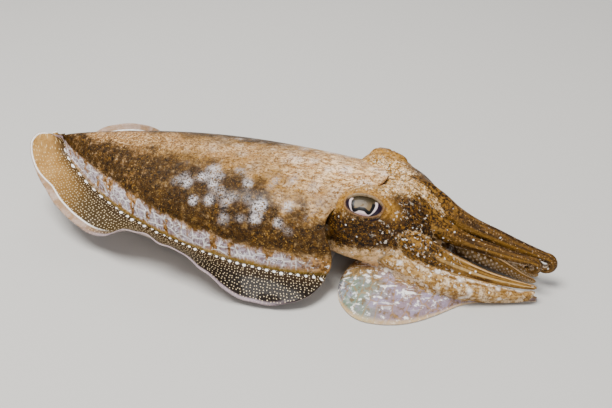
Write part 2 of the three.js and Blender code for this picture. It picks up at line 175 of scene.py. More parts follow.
@dataclass
class Patch:
    """A closed net of points, in millimetres, with what the finish needs to know of each."""

    points: Array
    faces: list[tuple[int, ...]]
    place: Array
    kind: Array
    limb: Array

    @staticmethod
    def loft(
        rings: Array,
        place: Array | None = None,
        kind: Sequence[float] = (0, 0, 0),
        limb: Array | None = None,
        caps: Sequence[Array] = (),
    ) -> "Patch":
        """Closes a stack of rings with a fan over each end.

        Args:
            rings: points by ring, side and axis.
            place: distance along the body, turn round it and reach over a fin or keel, by ring and side.
            kind: how much of a fin, an arm and a keel these points are.
            limb: on an arm, share of its length, turn from its inner side and number of its pair;
                on a fin, distance from its root and its width; on the head, distance from an
                opening, in openings, and height on its eye.
            caps: middles of the two fans, when they aren't the middles of the end rings.

        Returns:
            The closed patch.
        """
        count, sides = rings.shape[:2]
        tables = [rings] + [np.zeros_like(rings) if rows is None else rows for rows in (place, limb)]
        flat = [np.vstack([rows.reshape(-1, 3), rows[[0, -1]].mean(axis=1)]) for rows in tables]
        if caps:
            flat[0][-2:] = caps
        ring, side = np.meshgrid(np.arange(count - 1), np.arange(sides), indexing="ij")
        a, b = ring * sides + side, ring * sides + (side + 1) % sides
        quads = np.stack([a, b, b + sides, a + sides], axis=-1).reshape(-1, 4)
        first, last = count * sides, count * sides + 1
        faces = [tuple(quad) for quad in quads.tolist()]
        for k in range(sides):
            n = (k + 1) % sides
            faces.append((first, n, k))
            faces.append((last, (count - 1) * sides + k, (count - 1) * sides + n))
        kinds = np.tile(np.asarray(kind, float), (len(flat[0]), 1))
        return Patch(flat[0], faces, flat[1], kinds, flat[2]).facing_out()

    def facing_out(self) -> "Patch":
        """Turns every face over when the patch is inside out."""
        first = [face[:3] for face in self.faces]
        rest = [(face[0], face[2], face[3]) for face in self.faces if len(face) == 4]
        a, b, c = (self.points[corner] for corner in np.array(first + rest).T)
        if np.einsum("ij,ij->i", a, np.cross(b, c)).sum() < 0:
            self.faces = [tuple(reversed(face)) for face in self.faces]
        return self


@dataclass(frozen=True)
class Mantle:
    """The trunk, from the tail tip to the free edge round the neck."""

    length: float = 180.0
    half_width: float = 45.6
    widest: float = 0.72
    front_taper: float = 0.11
    tail_height: float = 44.9
    back: float = 53.9
    back_highest: float = 0.6
    root_front: float = 10.5
    belly_flat: float = 0.5
    belly_depth: float = 0.9
    lobe: float = 17.0
    lobe_spread: float = 0.42
    notch: float = 9.0
    eye_notch: float = 7.5
    eye_notch_angle: float = 0.86
    eye_notch_spread: float = 0.36
    rim_ahead: float = 2.0
    tail_tip: float = 0.0002
    lip_rings: Sequence[tuple[float, float]] = (
        (0.994, -0.5), (0.978, -0.65), (0.962, -0.2), (0.948, 1.2), (0.92, 6.0), (0.88, 14.0)
    )
    power: float = 2.0 / 2.3
    rings: int = 190
    sides: int = 230

    def width_at(self, s: Array) -> Array:
        """Half the width at a share s of the length."""
        rear = np.clip((self.widest - s) / self.widest, 0.0, 1.0)
        front = np.clip((s - self.widest) / (1.0 - self.widest), 0.0, 1.0)
        return self.half_width * (1 - rear**2.04) ** 1.02 * (1 - self.front_taper * front**2)

    def root_at(self, s: Array) -> Array:
        """Height of the fin's root."""
        return self.tail_height + (self.root_front - self.tail_height) * np.clip(s / 0.95, 0.0, 1.0) ** 0.3

    def back_at(self, s: Array) -> Array:
        """Height of the middle of the back."""
        rear = np.clip((self.back_highest - s) / self.back_highest, 0.0, 1.0)
        front = np.clip((s - self.back_highest) / (1.0 - self.back_highest), 0.0, 1.0)
        rise = (1 - rear**2) ** 0.62 - 0.1 * front**2
        return self.tail_height + (self.back - self.tail_height) * rise

    def belly_at(self, s: Array) -> Array:
        """Height of the middle of the belly, before it is flattened on the floor."""
        root = self.root_at(s)
        drop = smooth(s, 0.0, self.belly_flat) ** 0.62
        return root + (np.minimum(root, -self.belly_depth) - root) * drop + 3.0 * smooth(s, 0.88, 1.0)

    def point(self, s: Array, angle: Array) -> Array:
        """A point of the outside; the angle runs from the back over the right side."""
        sine, cosine = np.sin(angle), np.cos(angle)
        root = self.root_at(s)
        reach = np.where(cosine >= 0, self.back_at(s) - root, root - self.belly_at(s))
        lobe = self.lobe * np.exp(-((np.arcsin(np.clip(sine, -1, 1)) / self.lobe_spread) ** 2))
        beside = np.abs((angle + math.pi) % TAU - math.pi)
        front = np.where(cosine >= 0, lobe, 0.0) - self.notch * smooth(-cosine, -0.3, 0.45)
        front = front - self.eye_notch * bell(beside, self.eye_notch_angle, self.eye_notch_spread)
        y = -self.width_at(s) * signed_power(sine, self.power)
        z = root + reach * signed_power(cosine, self.power)
        x = self.length * s + (self.rim_ahead + front) * smooth(s, 0.6, 1.0)
        return grid(x, y, np.maximum(z, 0.0))

    def patch(self) -> Patch:
        """The mantle's closed patch, with its lip turned in round the neck."""
        share = np.linspace(0.0, 1.0, self.rings) ** 1.4
        share[0] = self.tail_tip
        s, angle = np.meshgrid(share, around(self.sides), indexing="ij")
        rings = self.point(s, angle)
        place = grid(s * self.length, 2 - 2 * np.abs(1 - angle / math.pi), 0.0)
        edge, middle = rings[-1], (self.back_at(np.array(1.0)) + self.belly_at(np.array(1.0))) / 2
        lip = []
        for scale, depth in self.lip_rings:
            ring = edge * [1, scale, 1]
            ring[:, 0] -= depth
            ring[:, 2] = middle + (edge[:, 2] - middle) * scale
            lip.append(ring)
        rings = np.concatenate([rings, np.stack(lip)])
        place = np.concatenate([place, np.repeat(place[-1:], len(lip), axis=0)])
        return Patch.loft(rings, place)


@dataclass(frozen=True)
class Fin:
    """One of the two fins, a thin rippled fringe along the side of the mantle.

    Its rows are the share of the mantle's length, the width, and the lift and sweep in degrees.
    """

    side: Side
    mantle: Mantle
    rows: Sequence[Sequence[float]]
    root_thickness: float = 2.6
    edge_thickness: float = 0.7
    rings: int = 280
    steps: int = 24
    ripple: float = 0.55
    ripple_lengths: tuple[float, float] = (3.1, 1.9)
    root_sunk: float = 1.2
    slope_step: float = 0.004

    def patch(self) -> Patch:
        """The fin's closed patch; its root is let into the mantle."""
        s = np.linspace(0.0, 1.0, self.rings) ** 1.4
        width, lift, sweep = np.moveaxis(Profile(self.rows)(s), -1, 0)
        root = self.mantle.point(s, np.full_like(s, math.pi / 2))
        root[:, 1] = self.side.value * np.abs(root[:, 1])
        near = (np.clip(s + step, 0, 1) for step in (self.slope_step, -self.slope_step))
        ahead, behind = (self.mantle.point(share, np.full_like(s, math.pi / 2)) for share in near)
        along = ahead - behind
        along[:, 1] *= -self.side.value
        along[:, 2] = 0
        along = unit(along)
        outward = grid(-along[:, 1], along[:, 0], 0.0) * self.side.value
        v = np.linspace(0.0, 1.0, self.steps + 1) ** 0.9
        turn, rise = np.radians(sweep), np.radians(lift)
        level = outward * np.cos(turn)[:, None] + along * np.sin(turn)[:, None]
        bend = rise[:, None] * v[None] ** 0.6
        up = np.array([0.0, 0.0, 1.0])
        ray = level[:, None] * np.cos(bend)[..., None] + up * np.sin(bend)[..., None]
        normal = -level[:, None] * np.sin(bend)[..., None] + up * np.cos(bend)[..., None]
        thick = self.root_thickness + (self.edge_thickness - self.root_thickness) * v**0.7
        thick = thick[None] * smooth(width, -4, 8)[:, None]
        reach = width[:, None] * v[None]
        long, short = (s * self.mantle.length / length for length in self.ripple_lengths)
        wave = np.sin(long) + 0.6 * np.sin(short + 1.3)
        lift_edge = self.ripple * wave[:, None] * v[None] ** 3 * smooth(width, 4, 16)[:, None]
        sunk = np.where(v[None] < 0.02, -self.root_sunk, 0.0)
        centre = root[:, None] + outward[:, None] * sunk[..., None] + ray * reach[..., None]
        upper = centre + normal * (thick / 2 + lift_edge)[..., None]
        lower = centre + normal * (lift_edge - thick / 2)[..., None]
        rings = np.concatenate([upper, lower[:, ::-1]], axis=1)
        along_mm = (s * self.mantle.length)[:, None]
        top, under = grid(along_mm, 1.0, v[None]), grid(along_mm, 1.6, v[None])
        place = np.concatenate([top, under[:, ::-1]], axis=1)
        limb = grid(np.concatenate([reach, reach[:, ::-1]], axis=1), 0.0, width[:, None])
        return Patch.loft(rings, place, (1, 0, 0), limb)


@dataclass(frozen=True)
class Eye:
    """Place and size of the eyes, given for the left one."""

    centre: tuple[float, float, float] = (194.0, 26.4, 49.0)
    facing: tuple[float, float, float] = (0.1, 0.62, 0.78)
    half_length: float = 11.6
    half_height: float = 8.2
    half_depth: float = 6.0
    sink: float = 1.9
    set_back: float = 0.6
    opening_length: float = 8.9
    opening_height: float = 5.7
    opening_raise: float = 0.7
    upper_lid: float = 0.2

    def axes(self, side: Side) -> tuple[Array, Array, Array]:
        """Unit vectors forwards along the eye, up across it and out of it."""
        out = unit(np.array(self.facing))
        ahead = np.array([1.0, 0.0, 0.0])
        forward = unit(ahead - out * ahead.dot(out))
        across = np.cross(out, forward)
        flip = np.array([1.0, side.value, 1.0])
        return forward * flip, across * flip * np.sign(across[2]), out * flip

    def middle(self, side: Side) -> Array:
        """Middle of the opening, in millimetres."""
        return np.array(self.centre) * [1.0, side.value, 1.0]

    def local(self, points: Array, side: Side) -> tuple[Array, Array, Array]:
        """Distances along, across and out of the eye from the middle of its opening."""
        away = points - self.middle(side)
        return tuple(away @ axis for axis in self.axes(side))

    def ring(self, along: Array, across: Array) -> Array:
        """Distance from the middle of the opening, in openings; the upper lid hangs lower."""
        across = across - self.opening_raise
        lid = 1 + self.upper_lid * smooth(across, 0, 3)
        return np.hypot(along / self.opening_length, across / self.opening_height * lid)


@dataclass(frozen=True)
class Head:
    """The head, with its neck inside the mantle's edge and a raised orbit round each eye.

    Its stations are x, half the width, height of the crown and height of the throat.
    """

    eye: Eye
    stations: Sequence[Sequence[float]] = (
        (158, 23, 38, 16), (168, 27, 42, 13), (178, 30, 45.5, 11), (188, 31.5, 49, 9),
        (198, 31.5, 51, 8), (208, 29, 52, 7.5), (217, 25, 50.5, 8.5), (226, 18, 44, 12), (232, 9, 36, 19),
    )
    orbit_x: float = 189.5
    orbit_angle: float = 0.84
    orbit_bulge: float = 10.0
    orbit_length: float = 15.0
    orbit_width: float = 0.44
    nape_dip: float = 1.2
    socket_depth: float = 3.4
    lid_rim: float = 1.25
    lid_fold: float = 0.45
    lid_groove: float = 0.3
    upper_lid: float = 0.9
    far_from_eye: float = 9.0
    power: float = 2.0 / 2.5
    rings: int = 150
    sides: int = 270

    def patch(self) -> Patch:
        """The head's closed patch, with the lids and sockets pressed in."""
        ends = self.stations[0][0], self.stations[-1][0]
        x, angle = np.meshgrid(np.linspace(*ends, self.rings), around(self.sides), indexing="ij")
        half, crown, throat = np.moveaxis(Profile(self.stations)(x), -1, 0)
        middle = (crown + throat) / 2
        y = -half * signed_power(np.sin(angle), self.power)
        z = (crown - throat) / 2 * signed_power(np.cos(angle), self.power)
        out = unit(grid(0.0, y, z))
        aside = np.abs(np.arctan2(y, z))
        orbit = self.orbit_bulge * bell(x, self.orbit_x, self.orbit_length)
        orbit = orbit * bell(aside, self.orbit_angle, self.orbit_width)
        nape = self.nape_dip * bell(y, 0, 11) * smooth(z, 0, 10) * (1 - smooth(x, 200, 214))
        rings = grid(x, y, middle + z - nape) + out * orbit[..., None]
        for side in Side:
            rings = self.press_lids(rings, side)
        place = grid(x, aside / (math.pi / 2), 1.0)
        return Patch.loft(rings, place, limb=self.lid_marks(rings))

    def lid_marks(self, rings: Array) -> Array:
        """How far each point is from an opening, in openings, and how high on its eye."""
        marks = np.zeros_like(rings)
        marks[..., 0] = self.far_from_eye
        for side in Side:
            along, across, depth = self.eye.local(rings, side)
            ring = self.eye.ring(along, across) + 0.1 * np.maximum(np.abs(depth) - 5.0, 0.0)
            nearer = (ring < marks[..., 0]) & (rings[..., 1] * side.value > 0)
            marks[nearer, 0] = ring[nearer]
            marks[nearer, 1] = across[nearer]
        return marks

    def press_lids(self, rings: Array, side: Side) -> Array:
        """Presses one eye's socket into the head and raises the lids round it."""
        eye = self.eye
        along, across, depth = eye.local(rings, side)
        near = np.exp(-((depth / 9.0) ** 4)) * (rings[..., 1] * side.value > 0)
        ring = eye.ring(along, across)
        push = -self.socket_depth * (1 - smooth(ring, 0.78, 1.06))
        folds = self.lid_rim * bell(ring, 1.13, 0.12) + self.lid_fold * bell(ring, 1.46, 0.09)
        push += folds - self.lid_groove * bell(ring, 1.31, 0.06)
        upper = self.upper_lid * bell(ring, 1.17, 0.17) * smooth(across, 0, 4)
        return rings + eye.axes(side)[2] * ((push + upper) * near)[..., None]


@dataclass(frozen=True)
class Arm:
    """One arm, which may end in a curl.

    Its stations are x, y, height and radius. A curl is x and height of its middle, its radius,
    its turns and the radius at the tip.
    """

    side: Side
    pair: int
    stations: Sequence[Sequence[float]]
    oral: float
    curl: Sequence[float] | None = None
    sides: int = 30
    per_station: int = 15
    flange: float = 0.0
    flange_angle: float = 0.0
    root_reach: float = 15.0
    root_inward: float = 0.74
    root_height: float = 30.0
    root_rise: float = 0.12
    root_radius: float = 0.62
    curl_closing: float = 0.28
    inner_flat: float = 0.2
    outer_ridge: float = 0.07
    side_ridge: float = 0.06
    tip_narrowing: float = 0.55

    def route(self) -> Array:
        """The arm's stations, with one deep in the head and those of a curled tip."""
        x, y, z, radius = self.stations[0]
        rise = (self.root_height - z) * self.root_rise
        root = (x - self.root_reach, y * self.root_inward, z + rise, radius * self.root_radius)
        route = [list(map(float, station)) for station in (root, *self.stations)]
        if self.curl is None:
            return np.array(route)
        middle_x, middle_z, radius, turns, tip = self.curl
        _, y, _, start = route[-1]
        steps = math.ceil(turns * 10)
        for i in range(1, steps + 1):
            t = i / steps
            angle = math.pi / 2 - TAU * turns * t
            reach = radius * (1 - self.curl_closing * t)
            x, z = middle_x + reach * math.cos(angle), middle_z + reach * math.sin(angle)
            route.append([x, y, z, start + (tip - start) * t])
        return np.array(route)

    def course(self, per_station: int) -> tuple[Array, Array, Array, Array]:
        """Reads the arm's middle line.

        Args:
            per_station: points for each stretch between two stations.

        Returns:
            Share of the length, points, unit tangents and radii.
        """
        route = self.route()
        knots = np.vstack([2 * route[0] - route[1], route, 2 * route[-1] - route[-2]])[:, :3]
        points, slopes = [], []
        last = len(route) - 1
        for i in range(last):
            p = knots[i : i + 4]
            d = [max(np.linalg.norm(p[k + 1] - p[k]) ** 0.5, 1e-4) for k in range(3)]
            m1 = ((p[1] - p[0]) / d[0] - (p[2] - p[0]) / (d[0] + d[1]) + (p[2] - p[1]) / d[1]) * d[1]
            m2 = ((p[2] - p[1]) / d[1] - (p[3] - p[1]) / (d[1] + d[2]) + (p[3] - p[2]) / d[2]) * d[1]
            t = (np.arange(per_station + (i == last - 1)) / per_station)[:, None]
            c2, c3 = -3 * p[1] + 3 * p[2] - 2 * m1 - m2, 2 * p[1] - 2 * p[2] + m1 + m2
            points.append(p[1] + m1 * t + c2 * t**2 + c3 * t**3)
            slopes.append(m1 + 2 * c2 * t + 3 * c3 * t**2)
        share = np.linspace(0, 1, last * per_station + 1)
        radii = Profile([(i / last, station[3]) for i, station in enumerate(route)])(share)[:, 0]
        return share, np.concatenate(points), unit(np.concatenate(slopes)), radii

    def frames(self, tangents: Array) -> tuple[Array, Array]:
        """Unit vectors across the arm, to the left, and up from it."""
        left = np.array([0.0, 1.0, 0.0])
        across = unit(left - tangents * tangents[:, 1:2])
        return across, np.cross(tangents, across)

    def flatness(self, from_oral: Any) -> Any:
        """Radius at an angle from the middle of the inner side, which is flatter than the rest."""
        return 1 - self.inner_flat * bell(from_oral, 0, 0.75)

    def patch(self) -> Patch:
        """The arm's closed patch: flatter on the inner side, with a low ridge on the outer one."""
        share, points, tangents, radii = self.course(self.per_station)
        across, upward = self.frames(tangents)
        angle = around(self.sides)
        from_oral = np.abs((angle - self.oral + math.pi) % TAU - math.pi)
        from_flange = np.abs((angle - self.flange_angle + math.pi) % TAU - math.pi)
        shape = self.flatness(from_oral) + self.outer_ridge * bell(from_oral, math.pi, 0.5)
        shape = shape + self.side_ridge * bell(from_oral, 1.05, 0.3)
        flange = self.flange * (smooth(share, 0.05, 0.35) * (1 - smooth(share, 0.93, 1.0)))
        radius = radii[:, None] * shape[None] + flange[:, None] * bell(from_flange, 0, 0.2)
        ring = across[:, None] * np.cos(angle)[None, :, None] + upward[:, None] * np.sin(angle)[None, :, None]
        rings = points[:, None] + ring * radius[..., None]
        ends = 1 - self.tip_narrowing * bell(share, 1.0, 0.015)
        rings = points[:, None] + (rings - points[:, None]) * ends[:, None, None]
        rings[..., 2] = np.maximum(rings[..., 2], 0.0)
        place = grid(points[:, None, 0], 1.0, 0.0 * radius)
        limb = grid(share[:, None], from_oral[None] / math.pi, float(self.pair))
        return Patch.loft(rings, place, (0, 1, 0), limb)


@dataclass(frozen=True)
class Keel:
    """A lowest arm with its broad keel on the floor.

    Its stations are x, inner edge, outer edge, distance of the core and height of the core.
    """

    side: Side
    stations: Sequence[Sequence[float]]
    edge: float = 0.8
    fold: float = 0.7
    rings: int = 150
    sides: int = 36

    def patch(self) -> Patch:
        """The keel's closed patch."""
        ends = self.stations[0][0], self.stations[-1][0]
        x = np.linspace(*ends, self.rings)[:, None]
        inner, outer, core, top = np.moveaxis(Profile(self.stations)(x), -1, 0)
        share = (1 - np.cos(np.linspace(0, math.pi, self.sides))) / 2
        y = inner + (outer - inner) * share[None]
        beyond = np.clip((y - core) / (outer - core), 0, 1)
        short = np.clip((core - y) / (core - inner), 0, 1)
        shoulder = np.where(y > core, (1 - beyond**1.5) ** 0.9, np.sqrt(1 - 0.75 * short**2))
        fold = self.fold * np.sin(y * 0.55 + x * 0.12) * smooth(beyond, 0.1, 0.6)
        height = np.maximum(self.edge, top * shoulder + fold * (1 - smooth(beyond, 0.85, 1.0)))
        upper, lower = grid(x, self.side.value * y, height), grid(x, self.side.value * y, 0.0)
        rings = np.concatenate([upper, lower[:, ::-1]], axis=1)
        places = np.concatenate([grid(x, 1.0, beyond), grid(x, 2.0, beyond)[:, ::-1]], axis=1)
        limb = grid((x - ends[0]) / (ends[1] - ends[0]), 0.0, 4.0 + 0 * y)
        return Patch.loft(rings, places, (0, 0, 1), np.concatenate([limb, limb[:, ::-1]], axis=1))


@dataclass(frozen=True)
class Funnel:
    """The funnel under the head, open to the front."""

    start: float = 168.0
    height: float = 6.6
    bore: float = 3.4
    bore_depth: float = 12.0
    bore_taper: float = 0.4
    outline: Sequence[tuple[float, float]] = ((0, 6.0), (14, 6.4), (30, 5.0), (40, 4.3))
    rings: int = 44
    bore_rings: int = 12
    sides: int = 36

    def patch(self) -> Patch:
        """The funnel's closed patch, with its bore; it takes the keels' pale finish."""
        length = self.outline[-1][0]
        along = np.linspace(0, length, self.rings)
        back = np.linspace(length + 0.2, length - self.bore_depth, self.bore_rings)
        bore = self.bore - self.bore_taper * (length - back) / self.bore_depth
        radius = np.concatenate([Profile(self.outline)(along)[:, 0], bore])[:, None]
        along = np.concatenate([along, back])[:, None]
        angle = around(self.sides)
        height = self.height - 0.02 * along + 0.82 * radius * np.cos(angle)
        rings = grid(self.start + along, radius * np.sin(angle), height)
        place = grid(self.start + along, 2.0, 0.0 * height)
        return Patch.loft(rings, place, (0, 0, 1))


class Animal:
    """Every sub-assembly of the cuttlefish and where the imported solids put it."""

    def __init__(self) -> None:
        """Builds the parts' sizes and finds the shift from building to packed place."""
        self.eye = Eye()
        self.mantle = Mantle()
        self.head = Head(self.eye)
        self.funnel = Funnel()
        self.fins = [Fin(side, self.mantle, rows) for side, rows in FIN_ROWS.items()]
        self.arms = self.make_arms()
        self.keels = [Keel(side, rows) for side, rows in KEEL_ROWS.items()]
        self.shift = self.find_shift()

    def find_shift(self) -> Array:
        """Compares the right eye's place with its packed box, in millimetres."""
        low, high = (np.array(corner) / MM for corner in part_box("eye_right"))
        out = self.eye.axes(Side.RIGHT)[2]
        return (low + high) / 2 - (self.eye.middle(Side.RIGHT) - out * self.eye.sink)

    @staticmethod
    def make_arms() -> list[Arm]:
        """The three upper pairs of arms, each with the angle of its inner side; the third has a flange."""
        arms = []
        for side, inward, low_out in ((Side.RIGHT, 0.0, -2.0), (Side.LEFT, math.pi, -1.14)):
            for pair, oral, flange in ((1, -math.pi / 2, 0.0), (2, inward, 0.0), (3, inward, 1.7)):
                rows, curl = ARM_ROWS[side, pair], CURLS.get((side, pair))
                arms.append(Arm(side, pair, rows, oral, curl, flange=flange, flange_angle=low_out))
        return arms

    def patches(self) -> list[Patch]:
        """The patches of the skin: mantle first, then fins, head, arms, keels and funnel."""
        parts = (self.mantle, *self.fins, self.head, *self.arms, *self.keels, self.funnel)
        return [part.patch() for part in parts]


FIN_ROWS = {
    Side.RIGHT: (
        (0, 7, 12, -72), (0.0015, 12.5, 22, -60), (0.005, 18.5, 26, -42), (0.012, 22, 18, -27),
        (0.05, 23.5, 7, -20), (0.1, 24.5, 2, -20), (0.18, 25.7, -5, -19), (0.27, 24.6, -13, -19),
        (0.34, 20.5, -14, -14), (0.4, 18.5, 25, 5), (0.5, 18, 30, 14), (0.6, 18, 22, 14),
        (0.68, 19, 0, 10), (0.76, 20.5, -24, 9), (0.85, 20, -23, 13), (0.92, 15.5, -16, 17),
        (0.965, 8, -12, 22), (0.99, 2, -10, 26),
    ),
    Side.LEFT: (
        (0, 12, 10, -55), (0.005, 18, 2, -42), (0.03, 23, -5, -32), (0.1, 25, 6, -24),
        (0.17, 26.5, 30, -18), (0.24, 26, 31, -12), (0.33, 24, 4, -3), (0.44, 21, -12, 5),
        (0.54, 19, 4, 8), (0.64, 18.5, 20, 9), (0.74, 19.5, 2, 9), (0.84, 20, -22, 12),
        (0.92, 15.5, -15, 17), (0.965, 8, -11, 22), (0.99, 2, -10, 26),
    ),
}
ARM_ROWS = {
    (Side.RIGHT, 1): (
        (212, -8, 42, 8.6), (224, -8.5, 35.5, 7.4), (236, -8, 29.6, 5.4), (247, -7.4, 25.8, 3.9),
        (259, -7, 23.4, 3.3), (270, -7, 21.7, 2.8), (277, -7, 20.9, 2.5),
    ),
    (Side.LEFT, 1): (
        (212, 6.5, 42.5, 9), (224, 5.5, 37.4, 8.4), (236, 4.4, 31.6, 6.6), (247, 3.6, 27.8, 5.4),
        (259, 3, 24.9, 4.6), (272, 2.5, 21.6, 3.6), (284, 2, 19, 2.8),
    ),
    (Side.RIGHT, 2): (
        (210, -18, 34, 8.4), (222, -20.5, 27.5, 7.2), (236, -20, 21, 5.4), (247, -18.3, 16.6, 4.3),
        (258, -16.6, 13, 3.3), (268, -15.2, 11, 2.5), (277, -14.2, 9.9, 1.8), (284, -13.5, 9.6, 1.1),
    ),
    (Side.LEFT, 2): (
        (210, 17, 34, 8.4), (222, 16, 26.5, 7.2), (235, 10.5, 17.5, 5.4), (246, 5.5, 12, 4.6),
        (258, 2.8, 9.8, 4), (268, 0.8, 7.4, 3), (276, 0, 4.8, 2), (283, 0, 3.2, 1.2),
    ),
    (Side.RIGHT, 3): (
        (206, -20, 21, 8.8), (219, -23.5, 16.5, 7.8), (233, -25, 11.8, 7), (246, -23.8, 8.4, 5.9),
        (258, -21, 6.6, 4.8), (268, -18.4, 5.4, 3.6), (277, -16.2, 5.2, 2.3), (283.5, -14.6, 7.2, 1.2),
    ),
    (Side.LEFT, 3): (
        (206, 20, 21, 8.8), (219, 23, 16, 7.8), (233, 21.5, 11, 6.8), (246, 17.5, 7.8, 5.6),
        (258, 13.5, 6, 4.6), (268, 10, 4.6, 3.4), (277, 7.8, 3.2, 2.2), (284, 7, 2.6, 1.2),
    ),
}
CURLS = {
    (Side.RIGHT, 1): (279.8, 17.6, 3.2, 0.74, 1.5),
    (Side.LEFT, 1): (286.0, 14.6, 4.1, 0.74, 2.1),
}
KEEL_ROWS = {
    Side.RIGHT: (
        (183.5, 26, 35, 30, 3.5), (186, 18, 42.5, 27, 8), (190, 12, 48.5, 24, 11), (196, 8, 54, 22, 13),
        (203, 6, 56.4, 20, 14), (211, 6, 56, 19, 13.5), (220, 6.5, 53.4, 18.5, 12.5),
        (229, 8, 48, 18, 11), (238, 9.5, 39.5, 17.5, 9), (248, 10.5, 28.5, 17, 7.4),
        (258, 10.6, 22.5, 16, 5.8), (270, 9.6, 18, 14, 4.2), (280, 9, 14.4, 12, 2.8),
        (285, 10, 13, 11.6, 1.8),
    ),
    Side.LEFT: (
        (185, 26, 34, 30, 3.5), (188, 18, 41, 27, 8), (192, 12, 46, 24, 11), (198, 8, 50, 22, 13),
        (205, 6, 52, 20, 14), (213, 6, 51.5, 19.5, 13.5), (222, 8, 49, 20, 12),
        (231, 11, 44.5, 21.5, 10), (240, 14, 38, 22.5, 7.6), (250, 16.5, 31, 22.5, 6),
        (260, 16, 25.5, 20, 4.6), (270, 14.6, 20.5, 17, 3.4), (277, 14, 17.4, 15.6, 2.2),
        (281, 14, 16.4, 15.2, 1.6),
    ),
}


class SkinMaker:
    """Joins the patches into one skin without seams, rounded further at the arms' roots."""

    blend_reach = 2.6
    arm_blend = 5.0
    arm_roots = (200, 234)
    under_arms = 3
    pull = 0.6
    rounds = 20

    def __init__(self, animal: Animal) -> None:
        """Keeps the animal whose patches are joined."""
        self.animal = animal
        self.patches = animal.patches()

    def build(self) -> bpy.types.Object:
        """Joins, blends and marks the skin.

        Returns:
            The skin's object, in metres at its packed place.
        """
        base, *others = (new_object("skin", patch.points.tolist(), patch.faces) for patch in self.patches)
        for other in others:
            self.unite(base, other)
        points = self.read_points(base)
        owners = nearest(np.concatenate([patch.points for patch in self.patches]), points)[0]
        self.mark(base, owners)
        write_points(base, (self.blend(base, points, owners) + self.animal.shift) * MM)
        return base

    @staticmethod
    def unite(base: bpy.types.Object, other: bpy.types.Object) -> None:
        """Joins another object to the base with a boolean and deletes it."""
        cut = base.modifiers.new("join", "BOOLEAN")
        cut.operation, cut.solver, cut.object = "UNION", "MANIFOLD", other
        graph = bpy.context.evaluated_depsgraph_get()
        mesh = bpy.data.meshes.new_from_object(base.evaluated_get(graph), depsgraph=graph)
        base.modifiers.remove(cut)
        spare = base.data, other.data
        base.data = mesh
        bpy.data.objects.remove(other)
        for old in spare:
            bpy.data.meshes.remove(old)

    @staticmethod
    def read_points(thing: bpy.types.Object) -> Array:
        """The object's points."""
        flat = np.empty(len(thing.data.vertices) * 3, np.float32)
        thing.data.vertices.foreach_get("co", flat)
        return flat.reshape(-1, 3).astype(float)

    def mark(self, base: bpy.types.Object, owners: Array) -> None:
        """Stores what each point's nearest patch point says of its place, kind and limb."""
        for name in ("place", "kind", "limb"):
            values = np.concatenate([getattr(patch, name) for patch in self.patches])
            store(base, name, values[owners])

    def blend(self, base: bpy.types.Object, points: Array, owners: Array) -> Array:
        """Rounds the joints between parts, except where the mantle's edge lies over the head.

        Args:
            base: the joined skin.
            points: its points, in millimetres.
            owners: for each point, the nearest point of the patches.

        Returns:
            The points after rounding.
        """
        flat = np.empty(len(base.data.edges) * 2, np.int32)
        base.data.edges.foreach_get("vertices", flat)
        ends = flat.reshape(-1, 2).T
        patch_of = np.concatenate([np.full(len(patch.points), i) for i, patch in enumerate(self.patches)])
        low, high = np.sort(patch_of[owners][ends], axis=0)
        seam = np.unique(ends[:, (low != high) & ((low != 0) | (high <= len(self.animal.fins)))])
        near, far = self.arm_roots
        soft = (points[:, 0] > near) & (points[:, 0] < far) & (points[:, 2] > self.under_arms)
        reach = np.where(soft, self.arm_blend, self.blend_reach)
        weight = 1 - smooth(nearest(points[seam], points)[1], 0.3, reach)
        degree = np.bincount(flat, minlength=len(points)).astype(float)
        moved = points.copy()
        for _ in range(self.rounds):
            sums = [
                np.bincount(ends[0], moved[ends[1], axis], len(points))
                + np.bincount(ends[1], moved[ends[0], axis], len(points))
                for axis in range(3)
            ]
            mean = np.stack(sums, axis=-1) / degree[:, None]
            moved += (mean - moved) * (self.pull * weight)[:, None]
        moved[:, 2] = np.where(points[:, 2] <= MM, 0.0, np.maximum(moved[:, 2], 0.0))
        return moved


def operator(operation: str) -> Callable[["Value", Any], "Value"]:
    """Makes an operator of Value that adds one Math node."""

    def apply(self: "Value", other: Any) -> "Value":
        """This value and another one, or a number, through the node."""
        return self.math(operation, other)

    return apply


class Value:
    """A shader socket with arithmetic."""

    def __init__(self, nodes: "NodeBench", socket: Any) -> None:
        """Wraps a socket of a node tree."""
        self.nodes = nodes
        self.socket = socket

    def math(self, operation: str, *others: Any) -> "Value":
        """A Math node of this value and others."""
        return self.nodes.node("ShaderNodeMath", {"operation": operation}, [self, *others])

    __add__ = __radd__ = operator("ADD")
    __mul__ = __rmul__ = operator("MULTIPLY")
    __sub__ = operator("SUBTRACT")

    def __rsub__(self, other: float) -> "Value":
        """A number minus this value."""
        return self * -1.0 + other

    def step(self, low: float, high: float) -> "Value":
        """A smooth step from 0 at low to 1 at high, or back when low is over high."""
        settings = {"interpolation_type": "SMOOTHSTEP"}
        ends = [low, high, 0.0, 1.0] if low < high else [high, low, 1.0, 0.0]
        return self.nodes.node("ShaderNodeMapRange", settings, [self, *ends])

    def peak(self, centre: Any, half: float) -> "Value":
        """A smooth bump of height 1 round a centre."""
        return (self - centre).math("ABSOLUTE").step(half, 0.0)


Colour = tuple[float, float, float]


